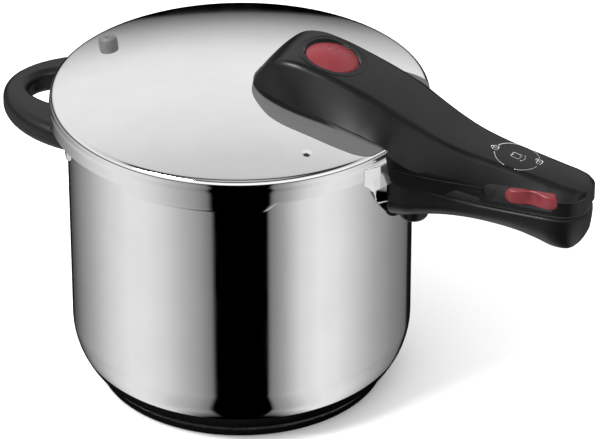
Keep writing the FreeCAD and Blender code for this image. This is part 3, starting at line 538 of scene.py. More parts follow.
def pot_rows(bearing):
    """Closed profile of the pot: base, wall, rim with its lug, and back inside."""
    share = lug(bearing)
    turn, rim_bend, mouth_bend = 1.4, 1.15, 1.2
    edge = RIM_RADIUS + (LUG - RIM_RADIUS) * share
    drop = RIM - SHEET - (RIM - SHEET - LUG_LOW) * share
    inside = edge - SHEET
    rows = wall_profile(0)
    rows += [(POT, 186.0)] + arc((POT + turn, RIM - SHEET - turn), turn, 180, 90, 5)
    rows += [(inside + 0.01, RIM - SHEET - 0.01), (inside, drop), (inside + 0.3, drop - 0.25 * share),
             (edge - 0.3, drop - 0.25 * share), (edge, drop + 0.1)]
    rows += arc((edge - rim_bend, RIM - rim_bend), rim_bend, 0, 90, 5)
    rows += arc((POT - SHEET + mouth_bend, RIM - mouth_bend), mouth_bend, 90, 180, 5)
    return rows + wall_profile(SHEET)[::-1]


def make_pot():
    verts, faces = lathe(pot_rows, 480)
    pot = piece("pot_wall", verts, faces, "pot", "polished_steel", SHEET_SHARP, ("pot_body",))
    subtract(pot, *box(*BAR_WAY))
    tidy_mesh(pot.data, SHEET_SHARP)


# ---------------------------------------------------------------------------
# Lid handle
# ---------------------------------------------------------------------------

# distance from the axis, half width and height of the top, half width and height of the seam,
# half width and height of the lower edge, radius of the top edge
LID_HANDLE = (
    (14.0, 12.0, 221.5, 19.0, 217.0, 19.0, 198, 3.0),
    (19.0, 16.0, 228.0, 24.0, 217.0, 24.0, 198, 4.5),
    (26.5, 19.5, 236.0, 28.5, 217.0, 28.5, 198, 5.5),
    (35.0, 22.4, 242.4, 31.3, 217.0, 31.3, 198, 6.0),
    (46.0, 24.2, 244.0, 34.0, 216.0, 34.0, 198, 6.0),
    (62.0, 24.4, 241.2, 37.0, 214.0, 37.0, 198, 6.0),
    (80.0, 23.8, 235.6, 40.0, 211.0, 40.0, 196, 6.0),
    (98.0, 23.0, 229.0, 43.0, 207.0, 43.0, 194, 6.0),
    (116.0, 22.4, 220.6, 44.0, 203.0, 39.5, 183, 6.0),
    (128.0, 21.8, 214.4, 38.5, 192.5, 35.0, 174, 6.0),
    (142.0, 20.7, 207.2, 31.5, 186.0, 30.0, 168, 6.0),
    (158.0, 18.8, 200.8, 26.2, 182.4, 25.2, 164, 6.0),
    (176.0, 16.8, 196.2, 22.8, 180.4, 22.4, 163, 6.0),
    (198.0, 15.2, 191.8, 21.8, 179.6, 21.8, 163, 6.0),
    (216.0, 14.0, 188.0, 21.6, 179.2, 21.6, 163, 6.0),
    (226.5, 13.0, 185.8, 20.2, 178.8, 20.2, 163, 5.5),
    (232.6, 10.6, 184.2, 16.6, 178.6, 16.6, 163, 4.0),
    (236.5, 5.2, 182.2, 9.0, 178.4, 9.0, 163, 2.2),
)
SEAM = ((60, 199.0), (100, 198.0), (112, 196.6), (124, 192.0), (136, 187.0), (150, 182.8), (165, 180.8),
        (180, 179.9), (205, 179.3), (235, 178.7), (262, 178.2))
HANDLE_WALL = 3.0
CAP_PLACE = 63.3
CAP_RADIUS = 16.9


def station(x, table=LID_HANDLE):
    """Sizes of the handle at a distance from the axis, smooth between the stations."""
    xs = [row[0] for row in table]
    x = min(max(x, xs[0]), xs[-1])
    i = max(k for k in range(len(xs) - 1) if xs[k] <= x)
    t = (x - xs[i]) / (xs[i + 1] - xs[i])
    span = xs[i + 1] - xs[i]
    values = []
    for column in range(1, len(table[0])):
        y0, y1 = table[i][column], table[i + 1][column]

        def slope(k):
            if k in (0, len(xs) - 1):
                ahead, behind = min(k + 1, len(xs) - 1), max(k - 1, 0)
                return (table[ahead][column] - table[behind][column]) / (xs[ahead] - xs[behind])
            left = (table[k][column] - table[k - 1][column]) / (xs[k] - xs[k - 1])
            far = (table[k + 1][column] - table[k][column]) / (xs[k + 1] - xs[k])
            return 0.0 if left * far < 0 else (left + far) / 2

        m0, m1 = slope(i) * span, slope(i + 1) * span
        values.append((2 * t ** 3 - 3 * t ** 2 + 1) * y0 + (t ** 3 - 2 * t ** 2 + t) * m0
                      + (3 * t ** 2 - 2 * t ** 3) * y1 + (t ** 3 - t ** 2) * m1)
    return values


def bezier(points, count):
    """Cubic curve through the first and last of four points, without its first point."""
    out = []
    for i in range(1, count + 1):
        t = i / count
        weights = ((1 - t) ** 3, 3 * t * (1 - t) ** 2, 3 * t * t * (1 - t), t ** 3)
        out.append(tuple(sum(w * p[axis] for w, p in zip(weights, points)) for axis in (0, 1)))
    return out


def half_section(x, inset=0.0):
    """Half of the handle's cross-section from its middle to its lower edge, as (y, z)."""
    top_width, top, side_width, side, low_width, low, edge = station(x)
    top_width -= inset
    top -= inset
    side_width -= inset
    low_width -= inset
    side -= inset / 3
    edge = max(edge * 0.62 - inset, 0.8)
    drop = 0.5  # fall of the crowned top from its middle to its edge
    start = max(top_width - edge, 0.5)
    corner = (top_width, top - drop)
    run = (side_width - corner[0], side - corner[1])
    length = math.hypot(*run)
    reach = min(edge, length * 0.6)
    end = (corner[0] + run[0] * reach / length, corner[1] + run[1] * reach / length)
    points = [(start * k / 6, top - drop * (k / 6) ** 2) for k in range(7)]
    points += bezier((points[-1], (start + (corner[0] - start) * 0.62, top - drop * 1.1),
                      (end[0] + (corner[0] - end[0]) * 0.62,
                       end[1] + (corner[1] - end[1]) * 0.62), end), 9)
    bow = 0.05  # swell of the sloping flank, as a share of its length
    middle = ((end[0] + side_width) / 2 + (end[1] - side) * bow,
              (end[1] + side) / 2 - (side_width - end[0]) * bow)
    points += bezier((end, ((end[0] + 2 * middle[0]) / 3, (end[1] + 2 * middle[1]) / 3),
                      ((side_width + 2 * middle[0]) / 3, (side + 2 * middle[1]) / 3),
                      (side_width, side)), 8)
    points += [(side_width + (low_width - side_width) * k / 4, side + (low - side) * k / 4)
               for k in range(1, 5)]
    return points


def dense_ends(first, last, count):
    """Distances between two ends, closer together near each end."""
    return [first + (last - first) * (0.5 - 0.5 * math.cos(math.pi * k / count))
            for k in range(count + 1)]


def handle_solid(inset=0.0):
    """Closed outer form of the lid handle, or of its hollow when inset by the wall."""
    rings = []
    for x in dense_ends(LID_HANDLE[0][0] + inset, LID_HANDLE[-1][0] - inset, 110):
        half = half_section(x, inset)
        rings.append([(x, y, z) for y, z in half + [(-y, z) for y, z in half[:0:-1]]])
    return loft(rings)


def top_height(x, y):
    """Height of the handle's upper face."""
    half = half_section(x)
    for (y0, z0), (y1, z1) in zip(half, half[1:]):
        if y0 <= abs(y) <= y1:
            return z0 + (z1 - z0) * (abs(y) - y0) / max(y1 - y0, 1e-6)
    return half[0][1]


def stadium(x0, x1, z, radius, y0, y1, count=20):
    """Bar with round ends that runs across the handle."""
    turns = [math.pi * (k / count - 0.5) for k in range(count + 1)]
    outline = [(x1 + radius * math.cos(a), z + radius * math.sin(a)) for a in turns]
    outline += [(x0 - radius * math.cos(a), z - radius * math.sin(a)) for a in turns]
    return loft([[(px, y, pz) for px, pz in outline] for y in (y0, y1)])


def barrel(x, y, radius, low, high, count=96):
    """Upright round bar."""
    turns = [2 * math.pi * k / count for k in range(count)]
    return loft([[(x + radius * math.cos(a), y + radius * math.sin(a), z) for a in turns]
                 for z in (low, high)])


# window for the slider: its two ends, height and radius
SLOT = (179.3, 216.3, 177.4, 6.0)
# the handle stands off the lid, less so towards the skirt, and has room for the skirt itself
LID_LIFT, LID_FALL = 6.5, 3.6
SKIRT_ROOM = 124.2
SEAM_GAP = 0.15
CAP_GAP = 1.1


def make_handle_top():
    """Hollow upper half of the lid handle, open below, with its window and the hole for the cap."""
    sharp, axis, low = 30.0, 0.05, 150
    shell = piece("handle_top_shell", *handle_solid(), "lid", "black_plastic", sharp,
                  ("lid_handle_top_shell",))
    subtract(shell, *handle_solid(HANDLE_WALL))
    edge = dome(SHOULDER[0]) + LID_LIFT - LID_FALL
    room = [(axis, low), (SKIRT_ROOM, low), (SKIRT_ROOM, edge - 3.2), (SHOULDER[0], edge)]
    room += [(r, dome(r) + LID_LIFT - LID_FALL * (r / SHOULDER[0]) ** 2)
             for r in (110, 100, 88, 74, 58, 40, 20, axis)]
    subtract(shell, *lathe(lambda bearing: room, 180))
    radii = range(100, 262, 3)
    seam = [(r, knots_height(SEAM, r) + SEAM_GAP) for r in radii] + [(radii[-1], 100), (100, 100)]
    subtract(shell, *lathe(lambda bearing: seam, 300))
    subtract(shell, *stadium(*SLOT, -40, 40))
    subtract(shell, *barrel(CAP_PLACE, 0, CAP_RADIUS + CAP_GAP, 224, 260))
    tidy_mesh(shell.data, sharp)


def ribbon(path, width, closed=False, rise=0.06, depth=0.03):
    """Thin printed line on top of the handle along (x, y) points."""
    count = len(path)
    verts, faces = [], []
    for k, (x, y) in enumerate(path):
        ahead = path[(k + 1) % count] if closed or k < count - 1 else path[k]
        behind = path[k - 1] if closed or k > 0 else path[k]
        dx, dy = ahead[0] - behind[0], ahead[1] - behind[1]
        length = math.hypot(dx, dy) or 1.0
        nx, ny = -dy / length * width / 2, dx / length * width / 2
        for side in (-1, 1):
            px, py = x + nx * side, y + ny * side
            verts.append((px, py, top_height(px, py) + rise))
            verts.append((px, py, top_height(px, py) - depth))
    last = count if closed else count - 1
    for k in range(last):
        a, b = 4 * k, 4 * ((k + 1) % count)
        faces += [(a, b, b + 2, a + 2), (a + 3, a + 2, a, a + 1), (a, a + 1, b + 1, b),
                  (a + 2, b + 2, b + 3, a + 3)]
    return verts, faces


def box_path(cx, cy, half_x, half_y, bend=0.35):
    """Outline of a rectangle with round corners."""
    path = []
    for sx, sy, a in ((1, 1, 0), (-1, 1, 90), (-1, -1, 180), (1, -1, 270)):
        path += arc((cx + sx * (half_x - bend), cy + sy * (half_y - bend)), bend, a, a + 90, 3)
    return path


# middle and radius of the printed dial, and the width of its lines
DIAL = (187.8, 0.2, 14.4)
LINE = 0.5


def lock_lines(x, y, is_open):
    """Small padlock: rounded frame, shackle and key hole; the shackle stands off when open."""
    shackle = arc((x - 1.6, y + (1.5 if is_open else 0.0)), 1.35, 90, 270, 14)
    if is_open:
        shackle = shackle[:-3]
    return [ribbon(box_path(x, y, 1.5, 2.3), LINE, True), ribbon(shackle, LINE),
            ribbon(arc((x, y), 0.3, 0, 360, 10), LINE)]


def make_marks():
    """Generic marks printed near the tip: a closed lock, steam and an open lock on a dial ring."""
    cx, cy, radius = DIAL
    parts = [ribbon(arc((cx, cy), radius, start, end, 24), LINE)
             for start, end in ((104, 164), (200, 254), (282, 346), (30, 80))]
    parts += lock_lines(cx - radius * 0.99, cy, False)
    parts += lock_lines(cx + radius * 0.97, cy + 2.6, True)
    cloud = []
    for dx, dy, r, first, last in ((-1.6, -1.2, 1.5, 130, 300), (1.2, -1.3, 1.6, 210, 400),
                                   (1.6, 1.3, 1.4, -50, 110), (-1.2, 1.4, 1.6, 40, 220)):
        cloud += arc((cx - 0.5 + dx, cy + dy), r, first, last, 8)
    parts += [ribbon(cloud, LINE, True), ribbon(arc((cx, cy), 5.2, -50, 40, 10), LINE)]
    marks = piece("handle_dial_marks", *joined(parts), "lid", "black_plastic")
    marks.data.materials.clear()
    marks.data.materials.append(PRINT)


def make_seam_ring():
    """Low ring moulded in the handle round the hole of the signal cap."""
    inner, outer, count, steps = CAP_RADIUS + 2.6, CAP_RADIUS + 5.2, 120, 8
    height, depth = 0.34, 0.04
    verts = []
    for k in range(count):
        a = 2 * math.pi * k / count
        for i in range(steps + 1):
            r = inner + (outer - inner) * i / steps
            x, y = CAP_PLACE + r * math.cos(a), r * math.sin(a)
            verts.append((x, y, top_height(x, y) + height * math.sin(math.pi * i / steps) - depth))
    piece("handle_signal_ring", verts, grid(count, steps + 1, closed=True, rings=False),
          "lid", "black_plastic")


# red cap: height of its crown over its edge, lean, foot, top, edge radius, wall, and hollow's roof
CROWN, CROWN_LEAN = 4.8, math.radians(11.3)
CAP_LOW, CAP_FACE = 223.7, 238.9
CAP_BEND = 0.9
CAP_WALL = 1.8
CAP_ROOF = 232.6
# heights on the cap's side; two pairs of them are the floors of its two grooves
CAP_SIDE = (232.0, 231.6, 231.3, 230.9, 228.0, 227.6, 227.3, 226.9, CAP_LOW)
CAP_GROOVES = (231.6, 231.3, 227.6, 227.3)
GROOVE = 0.35
BALL = (CAP_RADIUS ** 2 + CROWN ** 2) / (2 * CROWN)
BALL_DEPTH = BALL - CROWN
BALL_CENTRE = (CAP_PLACE - BALL_DEPTH * math.sin(CROWN_LEAN),
               CAP_FACE - BALL_DEPTH * math.cos(CROWN_LEAN))


def crown_height(x, y):
    """Height of the red cap's face."""
    return BALL_CENTRE[1] + math.sqrt(BALL ** 2 - (x - BALL_CENTRE[0]) ** 2 - y ** 2)


def make_signal_cap():
    """Red cap: crown that leans with the handle, rounded edge, grooves round its side."""
    count, flat = 120, CAP_RADIUS - CAP_BEND
    radii = [0.05] + [CAP_RADIUS * (k / 14) for k in range(1, 13)] + [flat]
    rows = [("crown", r, 0) for r in radii]
    for k in range(1, 7):
        a = math.radians(15 * k)
        rows.append(("crown", flat + CAP_BEND * math.sin(a), -CAP_BEND * (1 - math.cos(a))))
    rows += [("side", CAP_RADIUS - (GROOVE if z in CAP_GROOVES else 0.0), z) for z in CAP_SIDE]
    hollow = CAP_RADIUS - CAP_WALL
    rows += [("side", hollow, CAP_LOW), ("side", hollow, CAP_ROOF), ("side", 0.05, CAP_ROOF)]
    verts = []
    for kind, r, value in rows:
        for k in range(count):
            a = 2 * math.pi * k / count
            x, y = CAP_PLACE + r * math.cos(a), r * math.sin(a)
            verts.append((x, y, crown_height(x, y) + value if kind == "crown" else value))
    piece("signal_button", verts, grid(len(rows), count), "signal", "red_plastic", 40.0,
          ("signal_cap",))
    make_cap_frame()


def make_cap_frame():
    """Small raised frame on the crown of the red cap."""
    path = box_path(CAP_PLACE - 1.0, 5.0, 2.5, 3.9, 1.6)
    across = ((-0.6, -0.03), (-0.28, 0.26), (0.28, 0.26), (0.6, -0.03))
    verts = []
    for k, (x, y) in enumerate(path):
        ahead, behind = path[(k + 1) % len(path)], path[k - 1]
        dx, dy = ahead[0] - behind[0], ahead[1] - behind[1]
        length = math.hypot(dx, dy)
        for off, rise in across:
            px, py = x - dy / length * off, y + dx / length * off
            verts.append((px, py, crown_height(px, py) + rise))
    piece("signal_button_frame", verts, grid(len(path), len(across), closed=True, rings=False),
          "signal", "red_plastic")


# red slider: ends, height and radius of its oval grips, and how far the far grip is set in
GRIP = (187.8, 221.8, 177.4, 5.5)
FAR_INSET = 1.6
GRIP_PROUD = 1.3
GRIP_INNER = 13.0


def slider_grip(side):
    """Oval grip on one flank: round rim, finger dish, and a skirt that goes into the handle."""
    x0, x1, z, radius = GRIP
    middle, half = (x0 + x1) / 2, (x1 - x0) / 2
    rings, count = 16, 96
    levels = [(i / rings, "face") for i in range(rings + 1)] + [(1.0, "side"), (1.0, "deep")]
    verts = []
    for t, kind in levels:
        for k in range(count):
            c, s = math.cos(2 * math.pi * k / count), math.sin(2 * math.pi * k / count)
            along = (half - radius) * max(-1.0, min(1.0, 1.9 * c)) + radius * c
            x, height = middle + along * t, z + radius * s * t
            flank = station(x)[2] - (0.0 if side < 0 else FAR_INSET)
            rim = 1.9 * max(0.0, (t - 0.72) / 0.28) ** 2
            dish = 4.4 * math.exp(-((x - middle) / 7.0) ** 2)
            dish *= 1 - 0.4 * ((height - z) / radius) ** 2
            y = flank + GRIP_PROUD - rim - dish
            if kind == "side":
                y -= 0.5
            elif kind == "deep":
                y = GRIP_INNER
            verts.append((x, side * y, height))
    return verts, grid(len(levels), count) + [end_face(len(levels) - 1, count)]


def make_slider():
    """Red slider: a grip on both flanks, joined by a link through the handle."""
    x0, x1, z = GRIP[:3]
    link = stadium(x0 + 3, x1 - 3, z + 0.1, 1.5, -15.5, 15.5, 8)
    piece("slider_grips", *joined([slider_grip(-1), slider_grip(1), link]), "slider", "red_plastic",
          35.0, ("opening_slider",))


def make_valve():
    """Silicone knob of the residual-pressure valve with its small top hole."""
    bearing, reach = math.radians(175.8), 94.5
    lean = math.asin(reach / DOME)
    profile = [(1.25, 3.0), (1.25, 9.6)] + arc((2.05, 9.6), 0.8, 180, 90, 4)
    profile += arc((3.2, 8.0), 2.9, 75, 20, 8) + [(6.2, 7.6), (6.25, 6.0), (6.3, 4.0), (6.2, 2.2)]
    profile += arc((5.3, 1.4), 0.9, 15, -85, 5) + [(4.2, 0.45), (4.2, -1.7), (6.3, -1.9)]
    profile += [(6.2, -2.5), (5.4, -5.2), (2.2, -5.2), (2.2, -4.4), (2.95, -3.8), (2.95, 0.2)]
    verts, faces = lathe(lambda angle: profile, 64)
    turn = Matrix.Rotation(lean, 3, Vector((-math.sin(bearing), math.cos(bearing), 0)))
    place = Vector((reach * math.cos(bearing), reach * math.sin(bearing), dome(reach)))
    verts = [tuple(turn @ Vector(v) + place) for v in verts]
    piece("residual_valve_knob", verts, faces, "lid", "valve_silicone", 40.0,
          ("residual_valve_body",))


# band on the skirt: its end on either side, in degrees, the length of its slope, and its sizes
BRACKET_END = 28.2
BRACKET_SLOPE = 5.6
BRACKET_THIN, BRACKET_THICK = 0.12, 1.7
BRACKET_LOW, BRACKET_DROP = 185.4, 6.0
LIP_HALF = 9.0
LIP = (SKIRT + 0.9, 128.4, 184.2, 185.8)


def bracket_rows(bearing):
    """Closed profile of the band, thin and short at its ends."""
    share = min(max((BRACKET_END - abs(bearing)) / BRACKET_SLOPE, 0.0), 1.0)
    inner = SKIRT + 0.03
    out = BRACKET_THIN + BRACKET_THICK * share
    low = BRACKET_LOW - BRACKET_DROP * smooth(share * 1.7)
    return [(inner, low), (inner + out * 0.8, low - 0.05), (inner + out, low + 0.3),
            (inner + out, 188.0), (inner + out, 195.6), (inner + out * 0.85, 196.5),
            (inner + out * 0.5, 197.1), (inner, 197.3)]


def make_bracket():
    """Steel band on the skirt, and its lip under the handle."""
    bracket = piece("lid_bracket_plate", *lathe(bracket_rows, 240, -BRACKET_END, BRACKET_END),
                    "lid", "polished_steel", SHEET_SHARP, ("lid_handle_bracket",))
    subtract(bracket, *box((120, -BAR_HALF, BAR_LOW), (129.0, BAR_HALF, BAR_HIGH)))
    tidy_mesh(bracket.data, SHEET_SHARP)
    # lip under the handle, on both sides of the way of the locking bar
    x0, x1, low, high = LIP
    halves = [box((x0, y0, low), (x1, y1, high))
              for y0, y1 in ((-LIP_HALF, -BAR_HALF), (BAR_HALF, LIP_HALF))]
    piece("lid_bracket_lip", *joined(halves), "lid", "polished_steel", SHEET_SHARP)


# distance from the axis, half width of the top, height and half width of the lower edge
POT_HANDLE = (
    (113.2, 29.0, 146.6, 20.0),
    (122.0, 29.0, 147.0, 19.0),
    (132.0, 27.6, 148.2, 16.5),
    (145.0, 25.4, 149.6, 14.5),
    (160.0, 23.4, 150.0, 13.0),
    (178.0, 22.2, 149.0, 12.0),
    (194.0, 21.8, 147.2, 12.0),
    (207.0, 21.6, 144.0, 12.0),
    (217.0, 21.2, 141.0, 12.0),
    (225.0, 19.4, 140.4, 11.0),
    (231.4, 15.6, 143.4, 8.6),
    (235.2, 10.6, 149.0, 5.6),
    (236.9, 5.6, 156.0, 3.0),
)
# lower face of the lid handle, and how far the pot handle stays under it
GAP = ((100, 180.5), (112, 180.0), (120, 178.8), (130, 176.4), (142, 173.2), (155, 170.4),
       (170, 168.4), (185, 167.8), (205, 167.8), (235, 167.8), (262, 167.8))
GAP_ROOM = 1.7
POT_CLEARANCE = 113.0
# screw boss under the handle: distance from the axis, radius, lower and upper end, hole, edge radius
BOSS = (119.5, 9.5, 135.0, 160.0)
BOSS_HOLE = 3.6
BOSS_BEND = 4.0


def pot_handle_half(x):
    """Half of the pot handle's cross-section: soft upper edge, upright flank, rounded belly."""
    width, low, low_width = station(x, POT_HANDLE)
    top = min(knots_height(GAP, x), knots_height(GAP, x + 1)) - GAP_ROOM
    bend = min(2.6, width * 0.4)
    flank = min(low + (172.0 - low) * 0.62, top - bend - 0.5)
    points = [((width - bend) * k / 4, top) for k in range(5)]
    points += bezier((points[-1], (width - bend * 0.45, top), (width, top - bend * 0.45),
                      (width, top - bend)), 6)
    points += [(width, top - bend + (flank - top + bend) * k / 3) for k in range(1, 4)]
    points += bezier(((width, flank), (width, flank - (flank - low) * 0.36),
                      (low_width + (width - low_width) * 0.3, low + 0.6 + (flank - low) * 0.13),
                      (low_width, low + 0.6)), 12)
    points += bezier((points[-1], (low_width * 0.75, low + 0.25), (low_width * 0.4, low),
                      (0.0, low)), 6)
    return points


def make_pot_handle():
    """Pot handle with a concave root that fits the wall, and its screw boss."""
    rings = []
    for x in dense_ends(POT_HANDLE[0][0] - 2.0, POT_HANDLE[-1][0], 90):
        half = pot_handle_half(x)
        rings.append([(x, y, z) for y, z in half + [(-y, z) for y, z in half[-2:0:-1]]])
    handle = piece("pot_grip", *loft(rings), "pot", "black_plastic", replaced=("pot_handle",))
    place, radius, low, high = BOSS
    subtract(handle, *barrel(0, 0, POT_CLEARANCE + 0.05, 120, 200, 256))
    subtract(handle, *barrel(place, 0, BOSS_HOLE - 0.05, 140.0, 160.0, 48))
    tidy_mesh(handle.data, 32.0)
    flat = radius - BOSS_BEND
    profile = [(BOSS_HOLE, low)] + arc((flat, low + BOSS_BEND), BOSS_BEND, -90, 0, 8)
    profile += [(radius, high), (BOSS_HOLE, high)]
    verts, faces = lathe(lambda bearing: profile, 72)
    piece("pot_grip_boss", [(x + place, y, z) for x, y, z in verts], faces, "pot", "black_plastic")


# sleeve at the handle's root: its ends along the handle, half width, height, sheet and corners
GUARD_START, GUARD_LENGTH = 103.6, 9.2
GUARD_HALF = 31.4
GUARD_LOW = 155.7
GUARD_SHEET = 1.1
GUARD_BEND = 9.0
GUARD_SIDE = (178.0, 176.5, 175.0, 173.5, 172.0, 170.5, 169.0, 167.5)


def guard_half(t, z):
    """Half width of the sleeve: straight at the top, drawn in towards the handle lower down."""
    share = smooth((176.0 - z) / 12.0)
    return GUARD_HALF + (0.7 + 2.1 * share) * (1 - t)


def guard_ring(t):
    """Points of the sleeve round the handle, from one upper edge under it to the other."""
    low = GUARD_LOW + 1.9 * smooth(t)
    flat = guard_half(t, 164) - GUARD_BEND
    ring = [(guard_half(t, z), z) for z in GUARD_SIDE]
    ring += [(flat + GUARD_BEND * math.cos(math.radians(a)),
              low + GUARD_BEND - GUARD_BEND * math.sin(math.radians(a))) for a in range(0, 91, 9)]
    return ring + [(-y, z) for y, z in ring[::-1]]


def make_flame_guard():
    """Sleeve with round lower corners between the wall of the pot and the root of the handle."""
    steps = 10
    rings = [(GUARD_START + GUARD_LENGTH * k / steps, guard_ring(k / steps))
             for k in range(steps + 1)]
    size = len(rings[0][1])
    verts, faces = [], []
    for inset in (0.0, GUARD_SHEET):
        for x, ring in rings:
            for y, z in ring:
                y -= math.copysign(inset, y)
                wall = math.sqrt(max(POT ** 2 - y ** 2, 0)) + 0.05 if x < 112 else x
                verts.append((max(x, wall), y, z + (inset if z < 170 else 0)))
    layer = size * len(rings)
    for base, flip in ((0, 1), (layer, -1)):
        for i in range(len(rings) - 1):
            for k in range(size - 1):
                a, b = base + i * size + k, base + (i + 1) * size + k
                faces.append((a, a + 1, b + 1, b)[::flip])
    for i in (0, len(rings) - 1):
        for k in range(size - 1):
            a = i * size + k
            faces.append((a, a + 1, layer + a + 1, layer + a))
    piece("pot_handle_sleeve", verts, faces, "pot", "polished_steel", SHEET_SHARP,
          ("pot_handle_flame_guard",))


# ---------------------------------------------------------------------------
# Studio
# ---------------------------------------------------------------------------

# brightness of the surroundings against height, in degrees above the horizon
SKY = ((-90, 0.0), (0, 0.0), (8.4, 0.0), (8.8, 0.12), (9.8, 0.17), (11.8, 0.293), (13.8, 0.427),
       (15.9, 0.551), (17.9, 0.649), (19.8, 0.748), (21.3, 0.82), (23.2, 0.86), (25.1, 0.89),
       (31, 0.90), (36.0, 0.87), (41.7, 0.80), (47.5, 0.69), (54.0, 0.60), (58.0, 0.04),
       (69.0, 0.04), (79.0, 0.40), (90, 0.50))
# brightness below the horizon against bearing from the front of the studio, in degrees
RING = ((-180, 0.0), (-163, 0.01), (-158, 0.08), (-153, 0.10), (-120, 0.41), (-99, 0.69),
        (-82, 0.84), (-67, 0.83), (-53, 0.71), (-40, 0.50), (-27, 0.32), (-20, 0.19), (-17.5, 0.0),
        (17, 0.0), (19, 0.2), (28, 0.38), (34, 0.56), (40.5, 0.74), (53.7, 0.88), (67.7, 0.82),
        (83, 0.63), (100, 0.42), (121.7, 0.26), (140, 0.18), (148, 0.14), (153, 0.01), (180, 0.0))
# the steeper a ray goes down, the wider the dark strip in front looks, until all is dark
SPREAD = ((-90, 0.45), (-62, 0.60), (-36, 1.0), (90, 1.0))
DEEP = ((-90, 0.0), (-78, 0.0), (-67, 1.0), (90, 1.0))
# extra light at the front of the studio, against the cosine of the bearing
FRONT = ((-1, 1.0), (0.1, 1.0), (0.6, 1.35), (1, 1.35))
BACKDROP = 0.97
FLOOR_SIZE = 7.0
FLOOR_LEVEL = -0.0004


def make_world():
    world = bpy.data.worlds.new("studio")
    scene.world = world
    world.use_nodes = True
    nodes = Nodes(world.node_tree)
    maths = nodes.maths
    background = world.node_tree.nodes["Background"]
    place = nodes.add("ShaderNodeTexCoord")
    split = nodes.add("ShaderNodeSeparateXYZ")
    nodes.link(place.outputs["Generated"], split.inputs["Vector"])

    def curve(value, points, low, high, top=1.0):
        """Straight runs through points, over low..high and up to top."""
        node = nodes.add("ShaderNodeFloatCurve")
        line = node.mapping.curves[0]
        while len(line.points) < len(points):
            line.points.new(0.5, 0.5)
        for point, (x, y) in zip(line.points, points):
            point.location = ((x - low) / (high - low), y / top)
            point.handle_type = "VECTOR"
        node.mapping.update()
        share = maths("DIVIDE", maths("SUBTRACT", value, low), high - low)
        nodes.link(share, node.inputs["Value"])
        return maths("MULTIPLY", node.outputs["Value"], top)

    height = maths("DEGREES", maths("ARCSINE", split.outputs["Z"]))
    # bearing from the front of the studio: positive to its right
    side = maths("ADD", maths("MULTIPLY", split.outputs["X"], math.cos(AZIMUTH)),
                 maths("MULTIPLY", split.outputs["Y"], math.sin(AZIMUTH)))
    front = maths("ADD", maths("MULTIPLY", split.outputs["X"], math.sin(AZIMUTH)),
                  maths("MULTIPLY", split.outputs["Y"], -math.cos(AZIMUTH)))
    bearing = maths("DEGREES", maths("ARCTAN2", side, front))
    level = maths("COSINE", maths("RADIANS", bearing))
    sky = maths("MULTIPLY", curve(height, SKY, -90, 90), curve(level, FRONT, -1, 1, 1.5))
    ring = curve(maths("MULTIPLY", bearing, curve(height, SPREAD, -90, 90)), RING, -180, 180)
    ring = maths("MULTIPLY", ring, curve(height, DEEP, -90, 90))
    below = maths("LESS_THAN", height, 0.0)
    light = maths("ADD", sky, maths("MULTIPLY", ring, below))
    # the backdrop itself is plain; the curves act as light and in reflections
    path = nodes.add("ShaderNodeLightPath")
    seen = maths("MULTIPLY", path.outputs["Is Camera Ray"], BACKDROP)
    other = maths("MULTIPLY", light, maths("SUBTRACT", 1.0, path.outputs["Is Camera Ray"]))
    nodes.link(maths("ADD", seen, other), background.inputs["Strength"])
    background.inputs["Color"].default_value = (1, 1, 1, 1)


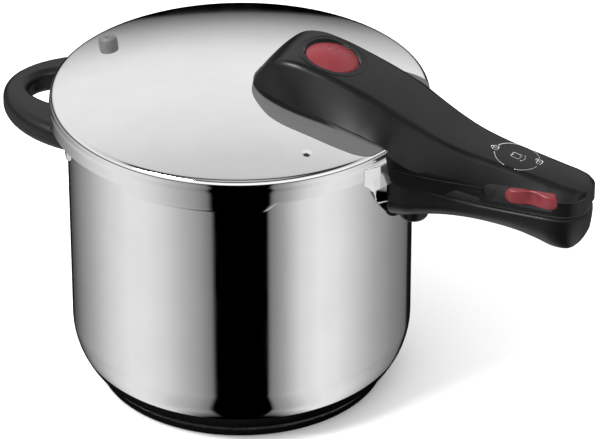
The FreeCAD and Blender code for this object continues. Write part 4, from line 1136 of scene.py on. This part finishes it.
def make_floor():
    mesh = bpy.data.meshes.new("floor")
    mesh.from_pydata([(x * FLOOR_SIZE, y * FLOOR_SIZE, FLOOR_LEVEL)
                      for x, y in ((-1, -1), (1, -1), (1, 1), (-1, 1))], [], [(0, 1, 2, 3)])
    floor = bpy.data.objects.new("floor", mesh)
    scene.collection.objects.link(floor)
    mat, nodes, shader = new_material("floor")
    cloud = nodes.noise(nodes.coordinates(), 3.0, 2.0)
    color = nodes.ramp(cloud, [(NOISE_LOW, (0.90,) * 3), (NOISE_HIGH, (0.92,) * 3)])
    nodes.link(color, shader.inputs["Base Color"])
    shader.inputs["Roughness"].default_value = 0.9
    shader.inputs["Specular IOR Level"].default_value = 0.0
    mesh.materials.append(mat)
    floor.visible_glossy = False
    # dark card on the floor round the base, seen only in the steel
    card = mesh_object("base_card", *lathe(lambda bearing: [(20, 0.2), (108, 0.2)], 96,
                                           closed_profile=False))
    mat, nodes, shader = new_material("base_card")
    shader.inputs["Base Color"].default_value = (0.004, 0.004, 0.004, 1)
    shader.inputs["Specular IOR Level"].default_value = 0.0
    card.data.materials.append(mat)
    card.visible_camera = False
    card.visible_diffuse = False
    card.visible_shadow = False


def area_light(name, place, aim, size, power, glossy):
    light = bpy.data.lights.new(name, "AREA")
    light.shape = "RECTANGLE"
    light.size, light.size_y = size
    light.energy = power
    obj = bpy.data.objects.new(name, light)
    obj.location = place
    obj.rotation_euler = (Vector(aim) - Vector(place)).to_track_quat("-Z", "Y").to_euler()
    scene.collection.objects.link(obj)
    obj.visible_glossy = glossy
    obj.visible_camera = False


def make_lights():
    area_light("overhead_softbox", (0, 0, 2.4), (0, 0, 0), (4.0, 4.0), 84.0, False)
    area_light("edge_softbox", (-0.70, -1.0, 1.7), (0.08, 0, 0.2), (0.7, 0.7), 42.0, True)


# carried-over pieces and pieces made here whose mirror image would darken the bright lid
HIDDEN_NODES = ("lid_handle_foot", "lid_handle_lower_shell", "lid_handle_screws", "signal_stem",
                "signal_spring", "signal_grommet", "handle_release_latch", "latch_spring")
HIDDEN_PIECES = ("handle_top_shell", "handle_dial_marks", "handle_signal_ring", "signal_button",
                 "signal_button_frame", "slider_grips", "residual_valve_knob")

make_camera()
make_world()
make_floor()
make_lights()

slots = {entry["node"]: entry["material_slot"] for entry in frame["record"]["subparts"]}
for node, obj in frame["nodes"].items():
    obj.data.materials.clear()
    obj.data.materials.append(MATERIALS[slots[node]])

make_lid()
make_pot()
make_handle_top()
make_marks()
make_seam_ring()
make_signal_cap()
make_slider()
make_valve()
make_bracket()
make_flame_guard()
make_pot_handle()
for name in HIDDEN_NODES:
    frame["nodes"][name].visible_glossy = False
for name in HIDDEN_PIECES:
    bpy.data.objects[name].visible_glossy = False

scene.view_settings.view_transform = "Standard"
